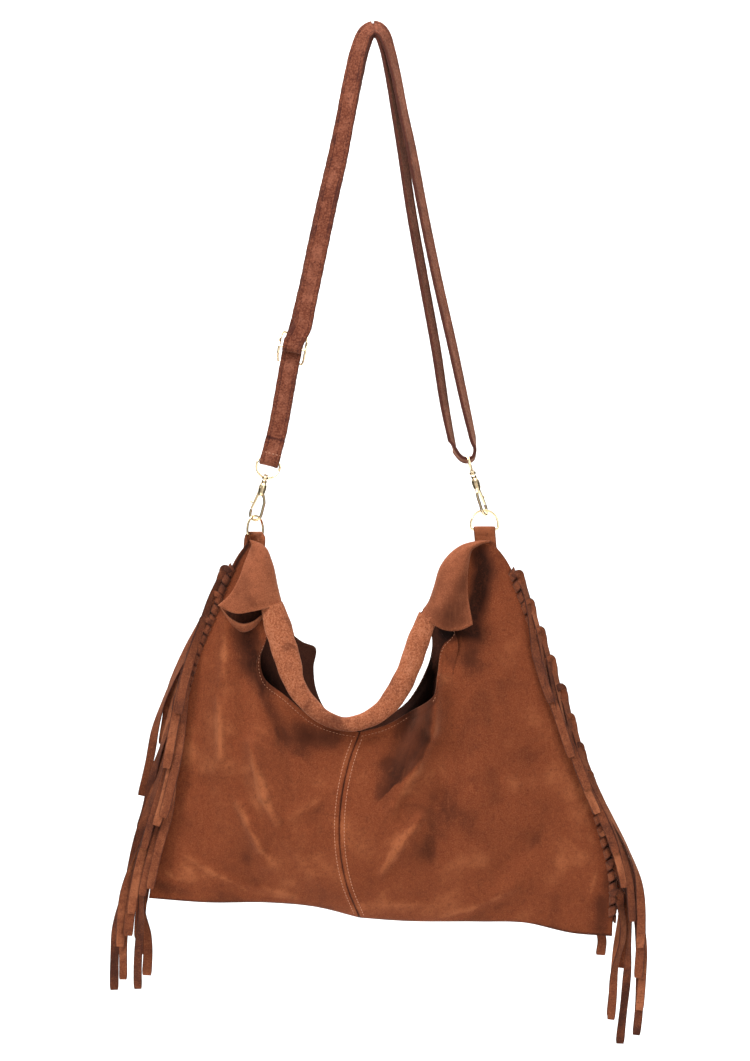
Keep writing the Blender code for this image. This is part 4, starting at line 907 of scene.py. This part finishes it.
def hanging(bar, pull):
    """Boss, place where the ring hangs in the hook, and the ring's bar."""
    pull = pull.normalized()
    boss = bar + pull * EYE_DROP
    contact = boss + pull * HOOK_REACH
    return boss, contact, contact - Vector((0, 0, RING_HEIGHT))


for side, bar, pull, across, shift in (
        ("left", LEFT_EYE_BAR, LEFT_PULL, (0.545, 0.839, 0), -2),
        ("right", RIGHT_EYE_BAR, RIGHT_PULL, (1, 0, 0), 2)):
    _, _, ring_bar = hanging(bar, pull)
    middles, wide = tab_line(ring_bar, across, shift)
    strip(side + "_suede_tab", middles, wide, flat_section(TAB_WIDTH, SUEDE), TAB_SUEDE,
          "bag_suede", nodes=[side + "_ring_tab"])


# Hardware: cast and drawn metal with a polished pale gold plating. Rings and eyes are bent wire,
# each hook turns on a rivet in its eye's boss and is closed by a sprung gate on a pin.

def plated(name, colour, roughness):
    made = bpy.data.materials.new(name)
    made.use_nodes = True
    tree = made.node_tree
    shader = tree.nodes["Principled BSDF"]
    shader.inputs["Metallic"].default_value = 1.0
    place = tree.nodes.new("ShaderNodeTexCoord").outputs["Object"]
    smears = node(tree, "TexNoise", {"Vector": place, "Scale": 320.0, "Detail": 3,
                                     "Roughness": 0.6})
    tint = shade(tree, (*colour, 1), (colour[0] * 0.86, colour[1] * 0.8, colour[2] * 0.7, 1),
                 spread(tree, smears.outputs[0], 0.4, 0.75))
    tree.links.new(tint, shader.inputs["Base Color"])
    rough = node(tree, "MapRange", {"Value": smears.outputs[0], "To Min": roughness * 0.7,
                                    "To Max": roughness * 1.5})
    tree.links.new(rough.outputs["Result"], shader.inputs["Roughness"])
    bump = node(tree, "Bump", {"Height": smears.outputs[0], "Strength": 0.12,
                               "Distance": 0.0002})
    tree.links.new(bump.outputs["Normal"], shader.inputs["Normal"])
    return made


PALE_GOLD = plated("polished_pale_gold", (0.93, 0.74, 0.47), 0.17)
for part in ("swivel_eye", "hook_body", "hook_gate", "gate_pin", "d_ring"):
    for side in ("left", "right"):
        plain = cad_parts[f"{side}_{part}"]
        plain.data.materials.clear()
        plain.data.materials.append(PALE_GOLD)
slide_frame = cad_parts["slide_frame"]
slide_frame.data.materials.clear()
slide_frame.data.materials.append(PALE_GOLD)


# Strap: one long strip 19.5 mm wide, its edges folded in and glued so that they stand as bands.
# It is sewn round the left eye, runs up through the slide, over the top and round the right eye,
# and comes back over the top to the loop that holds the slide's middle bar.

STRAP_WIDTH, STRAP_THICKNESS = 19.5 * MM, 3 * MM
STRAP_RUN = [(-73.5, -3.2, -284, 0, 6.4, 3.2), (-69.8, -2.1, -266, 4, 4.0, 2.4),
             (-65.8, -1.8, -248, 6, 3.6, 2.0), (-57.5, -1.8, -208, 8, 3.6, 2.2),
             (-47.6, -1.8, -162, 10, 3.6, 2.1), (-37.1, -1.7, -116, 12, 3.6, 1.8),
             (-29.9, -1.6, -80, 16, 3.6, 1.0), (-20.6, -1.3, -33, 25, 3.6, 0.3),
             (-14.5, -0.8, -8, 33, 3.6, 0), (-7.5, -0.3, 7.5, 38, 3.6, 0),
             (0, 0, 11.3, 43, 3.6, 0), (6.5, 0, 6.5, 50, 4.0, 0), (12, 0, -8, 58, 4.6, 0),
             (17, 0, -30, 63, 6.2, 0), (24.6, 0, -72, 65, 7.8, 0), (30.7, 0, -104, 64, 9.8, 0),
             (42.1, 0, -171, 64, 12.8, 0), (55.2, 0, -239, 64, 14.8, 0),
             (69.5, 0, -309, 65, 18.2, 0), (80.6, 0, -369, 69, 21.6, 0),
             (87.2, 0, -400, 75, 21.8, 0)]
STRAP_DROP = [(-101.2, -1.7, -405), (-97.6, -0.2, -391), (-95.6, 0, -381), (-90.6, 0, -353),
              (-85.4, 0, -324), (-81.2, 0, -304)]
SLIDE_BAR = Vector((-82.6, -6.4, -308)) * MM
SLIDE_UP = Vector((0.178, 0, 0.984)).normalized()
SLIDE_ACROSS = Vector((0.984, 0, -0.178)).normalized()
LOOP_RISE = 11.5 * MM

STRAP_SUEDE = suede("strap_suede", (0.132, 0.035, 0.0172), (0.27, 0.092, 0.052),
                    (0.060, 0.016, 0.011), patches=60.0, fibre=560.0, depth=0.0007, grain=0.8,
                    cut_edge=(0.065, 0.020, 0.015))


def strap_stations():
    """Middles and width directions: up to the top and round to it again, then the return."""
    fractions = np.linspace(0, 1, 170)
    run = curve_at(STRAP_RUN, fractions)
    along = np.gradient(run[:, :3], axis=0)
    along /= np.linalg.norm(along, axis=1)[:, None]
    inner = np.stack([along[:, 2], 0 * along[:, 0], -along[:, 0]], axis=1)
    inner /= np.linalg.norm(inner, axis=1)[:, None]
    forward = np.array([[0.0, -1.0, 0.0]])
    turn = np.radians(run[:, 3])[:, None]
    widths = inner * np.cos(turn) + forward * np.sin(turn)
    faces = forward * np.cos(turn) - inner * np.sin(turn)
    half_spread = faces * run[:, 4:5] / 2
    half_stagger = inner * run[:, 5:6] / 2
    outer = run[:, :3] + half_spread + half_stagger
    inner_layer = run[:, :3] - half_spread - half_stagger

    reach = (WIRE / 2 + CLEARANCE + STRAP_THICKNESS / 2) / MM
    bar, pull = np.array(LEFT_EYE_BAR) / MM, np.array(LEFT_PULL)
    back = np.array([0, reach, 0])
    fold = [bar - pull * 24 + [0, 3.5, 0], bar - pull * 14 + [0, 3.2, 0], bar - pull * 3 + back]
    for angle in np.linspace(0, pi, 9):
        fold.append(bar + pull * sin(angle) * reach + back * cos(angle))
    fold.append(bar - pull * 3 - back)
    fold = np.array(fold)
    drop = np.array(STRAP_DROP)
    bar = np.array(RIGHT_EYE_BAR) / MM
    bight = [(79, 0, -408.5), (83.4, 0, -415.6), (88.4, 0, bar[2] - 0.84 * reach),
             (bar[0] + 0.6, 0, bar[2] - reach), (97.2, 0, bar[2] - 0.55 * reach), (99.8, 0, -411)]
    first = np.concatenate([fold, drop, inner_layer, bight, outer[::-1]])
    first_width = np.concatenate([np.tile((0.967, 0, -0.254), (len(fold), 1)),
                                  np.tile(SLIDE_ACROSS, (len(drop), 1)), widths,
                                  np.tile((0, -0.98, 0.2), (len(bight), 1)), widths[::-1]])
    end = np.array(SLIDE_BAR + SLIDE_UP * (LOOP_RISE + CLEARANCE)) / MM + [3.0, -2.4, 0]
    return (np.concatenate([first, [end]]) * MM,
            np.concatenate([first_width, [tuple(SLIDE_ACROSS)]]))


def evened(middles, across, spacing):
    """The same line with even, close stations."""
    both = np.concatenate([middles, across * MM], axis=1)
    count = int(length_of(middles) / spacing)
    even = curve_at(both, np.linspace(0, 1, count))
    return even[:, :3], even[:, 3:] / MM


strap_middles, strap_across = evened(*strap_stations(), 2.2 * MM)
# The return layer starts where the strip passes the top for the second time
top_again = len(strap_middles) // 2 + int(np.argmax(strap_middles[len(strap_middles) // 2:, 2]))
STRAP_SKIN = 3.5 * MM
strap_section = flat_section(STRAP_WIDTH, STRAP_SKIN, corner=0.2, rise=0.16, band=0.42, points=21)
# Painted shade along the crease where the strap folds above the left eye.
strap_crease = np.hypot(strap_middles[:, 0] / MM + 99.5, strap_middles[:, 2] / MM + 399.5)
strap_crease_painted_shade = -0.6 * np.exp(-(strap_crease / 1.6) ** 2)
station = np.arange(len(strap_middles))
wobble = 1 + 0.012 * np.sin(station * 0.9) + 0.010 * np.sin(station * 2.3 + 1)
for strap_name, stretch in (("strap_strip", slice(0, top_again + 1)),
                            ("strap_return_layer", slice(top_again, None))):
    layer = strip(strap_name, strap_middles[stretch], strap_across[stretch], strap_section,
                  STRAP_SUEDE, "strap_suede", nodes=["shoulder_strap"], body=None,
                  widths=wobble[stretch], edge_from=0.88, banded=True,
                  nap_and_painted_light=(0.05 * np.sin(station * 0.13) + strap_crease_painted_shade)[stretch])
    if strap_name == "strap_strip":
        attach(layer, BAG)
    else:
        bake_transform(layer)


# Slide loop: the strap's other end, folded round the middle bar and sewn to itself.

def slide_loop():
    reach = WIRE / 2 + CLEARANCE + STRAP_THICKNESS / 2
    back = Vector((0, reach, 0))
    stations = [SLIDE_UP * 0.008 + back, SLIDE_UP * 0.003 + back]
    for angle in np.linspace(0, pi, 14):
        stations.append(-SLIDE_UP * sin(angle) * reach + back * cos(angle))
    stations.append(SLIDE_UP * 0.005 - back)
    stations.append(SLIDE_UP * LOOP_RISE + Vector((3.0 * MM, -2.65 * MM, 0)))
    middles = [tuple(SLIDE_BAR + station) for station in stations]
    # Its end is skived to nothing on the return layer
    middles += [tuple(strap_middles[-k]) for k in (3, 5, 7)]
    across = [tuple(SLIDE_ACROSS)] * len(stations) + [tuple(strap_across[-k]) for k in (3, 5, 7)]
    depths = [1] * (len(stations) - 1) + [1.0, 0.9, 0.6, 0.2]
    return strip("slide_loop_fold", middles, across, strap_section, STRAP_SUEDE, "strap_suede",
                 nodes=["strap_end_loop"], body="slide_buckle", depths=depths, edge_from=0.88,
                 banded=True)


slide_loop()
stitches("strap_end_stitches", [[(-0.1125, -0.0049, -0.4112), (-0.0945, -0.0049, -0.4160)]],
         slot="strap_suede")


# Side lacing: a thong 8.8 mm wide is whipped round the edge of each side seam, through holes in
# both panels, and carries the fringe.

THONG_WIDTH, THONG_THICKNESS = 8.8 * MM, 1.8 * MM
LACING_TOP, LACING_FOOT = 0.91, 0.04
LACING_STANDS = 2.6 * MM
LACING_HOLES = 4.2 * MM
LACING_REACH = 1.5 * MM
LACING_TURNS = 31
FRINGE_STRIPS = 12

FRINGE_SUEDE = suede("fringe_suede", (0.155, 0.042, 0.0178), (0.32, 0.104, 0.045),
                     (0.060, 0.018, 0.011), patches=34.0, fibre=800.0, depth=0.0006,
                     cut_edge=(0.050, 0.016, 0.011))


def seam_frame(seam, share, outward):
    """A point on the side seam, the direction down the seam and the direction away from it."""
    flat = curve_at(seam, np.array([share, share - 0.004])) * MM
    along = Vector((flat[1, 0] - flat[0, 0], 0, flat[1, 1] - flat[0, 1])).normalized()
    away = Vector((-along.z, 0, along.x))
    return Vector((flat[0, 0], 0, flat[0, 1])), along, away if away.x * outward > 0 else -away


def side_lacing(side, seam, outward):
    """The thong goes round the edge and back through a hole in both panels, again and again."""
    depth = SEAM_HALF_GAP + SUEDE / 2 + CLEARANCE + THONG_THICKNESS / 2 + 2.2 * LACING_REACH
    phases = np.linspace(0, 2 * pi * LACING_TURNS, 26 * LACING_TURNS + 1)
    middles, outwards = [], []
    for phase in phases:
        share = LACING_TOP + (LACING_FOOT - LACING_TOP) * phase / phases[-1]
        edge, _, away = seam_frame(seam, share, outward)
        out = away * cos(phase) + Vector((0, -sin(phase), 0))
        reach = (LACING_STANDS - LACING_HOLES) / 2 + (LACING_STANDS + LACING_HOLES) / 2 * cos(phase)
        middles.append(tuple(edge + away * reach + Vector((0, -depth * sin(phase), 0))))
        outwards.append(tuple(out))
    across = np.cross(np.gradient(np.array(middles), axis=0), np.array(outwards))
    strip(side + "_lacing_thong", middles, across, flat_section(THONG_WIDTH, THONG_THICKNESS,
                                                                points=7),
          FRINGE_SUEDE, "fringe_suede", nodes=[side + "_side_lacing"],
          nap_and_painted_light=0.1 * np.sin(phases * 0.37) - 0.1, edge_from=0.62)


side_lacing("left", LEFT_SEAM, -1)
side_lacing("right", RIGHT_SEAM, 1)


# Fringe: strips 6.8 mm wide are doubled over the lacing and hang as two tails each, one before
# and one behind the seam. They are cut by hand, so widths, lengths and ends differ.

FRINGE_WIDTH, FRINGE_THICKNESS = 6.8 * MM, 1.5 * MM
FRINGE_STANDS = 5.2 * MM
EDGEWISE_TURN = 0.85     # radians that the strips' upper parts are turned towards their edges
SHINGLE_PITCH = 2.3 * MM
LEFT_FALL = [(-139, -505), (-152, -533), (-166, -560), (-177, -590), (-186, -615),
             (-196, -650), (-204, -690), (-210, -725), (-220, -765), (-232, -805),
             (-241, -845), (-246, -880), (-248, -920), (-248, -970)]
RIGHT_FALL = [(130, -503), (145, -530), (154, -554), (163, -582), (172, -610), (182, -643),
              (193, -675), (204, -708), (217, -742), (232, -775), (244, -805), (252, -835),
              (255, -870), (254, -910), (251, -950), (246, -1000), (243, -1040)]
# Ends of the front and back tails, top strip first
LEFT_ENDS = [((-196, -673), (-190, -655)), ((-208, -727), (-214, -705)),
             ((-211, -776), (-235, -757)), ((-218, -784), (-226, -766)),
             ((-230, -807), (-236, -790)), ((-224, -847), (-240, -812)),
             ((-232, -854), (-246, -838)), ((-243, -872), (-233, -866)),
             ((-246, -894), (-238, -900)), ((-254, -905), (-235, -916)),
             ((-236, -947), (-262, -952)), ((-251, -938), (-229, -937))]
RIGHT_ENDS = [((176, -662), (182, -690)), ((196, -716), (190, -700)),
              ((212, -748), (206, -736)), ((222, -772), (228, -790)),
              ((240, -812), (236, -800)), ((248, -846), (240, -838)),
              ((256, -880), (246, -866)), ((264, -906), (250, -900)),
              ((262, -936), (248, -930)), ((263, -968), (236, -978)),
              ((260, -993), (246, -1006)), ((235, -978), (226, -916))]


def tail_line(start, fall, end, side, step_down, half_fold, outward):
    """Points of one tail, from its fold down to its end."""
    fall_length = length_of(fall)
    shares = np.linspace(0, 1, 4001)
    places = curve_at(fall, shares)
    begin = shares[np.argmin(np.abs(places[:, 1] - start.z))]
    finish = shares[np.argmin(np.abs(places[:, 1] - end[1]))]
    length = (finish - begin) * fall_length
    distances = np.linspace(0, length, 60)
    line = curve_at(fall, begin + distances / fall_length)
    line[:, 0] += (start.x - line[0, 0]) * (1 - smooth(distances / 0.05))
    line[:, 0] += (end[0] - line[-1, 0]) * smooth(1.5 * distances / length)
    depth = half_fold + SHINGLE_PITCH * distances / step_down
    return np.stack([line[:, 0], side * depth, line[:, 1]], axis=1), distances / length


def fringe_strip(side_name, index, seam, fall, ends, outward):
    fall = np.asarray(fall, float) * MM
    chance = np.random.default_rng(100 * index + (7 if outward > 0 else 3))
    share = LACING_TOP + (LACING_FOOT - LACING_TOP) * (index + 0.25) / FRINGE_STRIPS
    edge, _, away = seam_frame(seam, share, outward)
    start = edge + away * FRINGE_STANDS
    step_down = 0.95 * length_of(seam) * MM * (LACING_TOP - LACING_FOOT) / FRINGE_STRIPS
    half_fold = 3.6 * MM
    halves, twists = [], []
    for turn, end in zip((-1, 1), ends[index]):
        line, share = tail_line(start, fall, (end[0] * MM, end[1] * MM), turn, step_down,
                                half_fold, outward)
        sway = chance.uniform(-1, 1) * 2.2 * MM * np.sin(pi * share) * np.sin(
            2 * pi * share * chance.uniform(0.6, 1.2) + chance.uniform(0, 6))
        line[:, 0] += sway
        twist = chance.uniform(-0.5, 0.5) * smooth(share * 2) * np.sin(
            2 * pi * share * chance.uniform(0.4, 1.1) + chance.uniform(0, 6))
        edgewise = smooth(share / 0.08) * (1 - smooth((share - 0.45) / 0.35))
        halves.append(line)
        twists.append(twist + EDGEWISE_TURN * edgewise)
    # Each strip is threaded through a hole in the seam: its neck, as distance away from the
    # seam's edge, depth and height in mm
    reach = (start - edge).dot(away) / MM
    neck = [(reach, 4.2, 2.2), (0.72 * reach, 6.2, 4.6), (1.5, 7.6, 4.9), (-2.5, 7.0, 3.4),
            (-4.0, 3.0, 2.6), (-4.2, 0.0, 2.4)]
    front_neck = [edge + away * out * MM + Vector((0, -deep, high)) * MM
                  for out, deep, high in neck]
    back_neck = [Vector((place.x, -place.y, place.z)) for place in front_neck[-2::-1]]
    ends_of_neck = [Vector(halves[0][0]), *front_neck, *back_neck, Vector(halves[1][0])]
    arc = curve_at([tuple(place) for place in ends_of_neck], np.linspace(0, 1, 41))[1:-1]
    middles = np.concatenate([halves[0][::-1], arc, halves[1]])
    across, last = [], np.array([1.0, 0.0, 0.0])
    for slope in np.gradient(middles, axis=0):
        level = np.hypot(slope[0], slope[2])
        if level > 0.5 * np.linalg.norm(slope):
            turned = np.array([-slope[2], 0, slope[0]]) / level
            last = turned if turned @ last >= 0 else -turned
        across.append(last)
    across = np.array(across)
    twist = np.concatenate([twists[0][::-1], np.zeros(len(arc)), twists[1]])
    gathered = np.concatenate([np.zeros(len(halves[0])), np.sin(np.linspace(0, pi, len(arc))),
                               np.zeros(len(halves[1]))])
    widths = 1.30 + 0.12 * np.sin(np.linspace(0, 9, len(middles)) + index) + chance.uniform(-0.1, 0.1)
    widths *= 1 - 0.5 * gathered
    for end_index in (0, 1, 2):
        widths[end_index] *= (0.82, 0.94, 0.99)[end_index]
        widths[-1 - end_index] *= (0.82, 0.94, 0.99)[end_index]
    tone = (-0.12, 0.12, -0.05, 0.24, -0.22, 0.08)[index % 6]
    # Darker at the neck where the strip is gathered into its hole: painted shade.
    nap_and_painted_light = tone + 0.06 * np.sin(np.linspace(0, 14, len(middles)) + index) - 0.3 * gathered
    name = f"{side_name}_fringe_strip_{index + 1:02d}"
    strip(name, middles, across, flat_section(FRINGE_WIDTH, FRINGE_THICKNESS, points=9),
          FRINGE_SUEDE, "fringe_suede", nodes=[f"{side_name}_fringe_{index + 1:02d}"],
          twist=twist, widths=widths, nap_and_painted_light=nap_and_painted_light, edge_from=0.8)


for strip_index in range(FRINGE_STRIPS):
    fringe_strip("left", strip_index, LEFT_SEAM, LEFT_FALL, LEFT_ENDS, -1)
    fringe_strip("right", strip_index, RIGHT_SEAM, RIGHT_FALL, RIGHT_ENDS, 1)


# Studio: a pale sweep behind and below the hanging bag, large soft lights and a long lens.

VIEW_HEIGHT = 1.061
VIEW_CENTRE = -0.4905
CAMERA_DISTANCE = 3.8
SENSOR = 24.0


def studio_sweep():
    floor, back, bend = -1.5, 3.0, 1.0
    line = [(-6.0, floor), (back - bend, floor)]
    line += [(back - bend + bend * sin(a), floor + bend * (1 - cos(a)))
             for a in np.linspace(0, pi / 2, 16)[1:]]
    line.append((back, 5.0))
    points = [(x, y, z) for x in (-7.0, 7.0) for y, z in line]
    count = len(line)
    faces = [(k, k + 1, count + k + 1, count + k) for k in range(count - 1)]
    mesh = bpy.data.meshes.new("studio_sweep")
    mesh.from_pydata(points, [], faces)
    mesh.shade_smooth()
    sweep = bpy.data.objects.new("studio_sweep", mesh)
    bpy.context.scene.collection.objects.link(sweep)
    paper = bpy.data.materials.new("white_paper")
    paper.use_nodes = True
    paper.node_tree.nodes["Principled BSDF"].inputs["Base Color"].default_value = (0.93, 0.93,
                                                                                   0.93, 1)
    paper.node_tree.nodes["Principled BSDF"].inputs["Roughness"].default_value = 0.9
    mesh.materials.append(paper)


def soft_light(name, place, aim, size, power, colour=(1, 1, 1)):
    data = bpy.data.lights.new(name, "AREA")
    data.shape = "RECTANGLE"
    data.size, data.size_y = size
    data.energy = power
    data.color = colour
    light = bpy.data.objects.new(name, data)
    bpy.context.scene.collection.objects.link(light)
    light.location = place
    light.rotation_euler = (Vector(aim) - Vector(place)).to_track_quat("-Z", "Y").to_euler()


def dark_card(name, x):
    """A black card beside the bag that only shows as the metal's dark outlines."""
    mesh = bpy.data.meshes.new(name)
    mesh.from_pydata([(x, -0.7, -1.3), (x, 1.2, -1.3), (x, 1.2, 0.1), (x, -0.7, 0.1)], [],
                     [(0, 1, 2, 3)])
    card = bpy.data.objects.new(name, mesh)
    bpy.context.scene.collection.objects.link(card)
    black = bpy.data.materials.new(name)
    black.use_nodes = True
    black.node_tree.nodes["Principled BSDF"].inputs["Base Color"].default_value = (0.01, 0.01,
                                                                                   0.01, 1)
    mesh.materials.append(black)
    card.visible_camera = False


studio_sweep()
dark_card("left_dark_card", -1.15)
dark_card("right_dark_card", 1.15)
soft_light("key", (-1.9, -1.6, 1.1), (0, 0, -0.6), (1.0, 1.2), 68)
soft_light("fill", (1.9, -2.4, 0.0), (0, 0, -0.6), (1.4, 1.8), 16)
soft_light("top", (0.3, -0.9, 1.3), (0, 0, -0.7), (1.4, 0.9), 28)
soft_light("backdrop", (0, 0.9, 2.2), (0, 2.8, -0.6), (4.0, 1.5), 170)

world = bpy.data.worlds.new("studio_air")
world.use_nodes = True
world.node_tree.nodes["Background"].inputs["Color"].default_value = (1, 1, 1, 1)
world.node_tree.nodes["Background"].inputs["Strength"].default_value = 0.44
bpy.context.scene.world = world
bpy.context.scene.view_settings.view_transform = "Standard"

lens = bpy.data.cameras.new("camera")
lens.sensor_fit = "VERTICAL"
lens.sensor_height = SENSOR
lens.lens = SENSOR * CAMERA_DISTANCE / VIEW_HEIGHT
camera = bpy.data.objects.new("camera", lens)
bpy.context.scene.collection.objects.link(camera)
camera.location = (0, -CAMERA_DISTANCE, VIEW_CENTRE)
camera.rotation_euler = (pi / 2, 0, 0)
bpy.context.scene.camera = camera
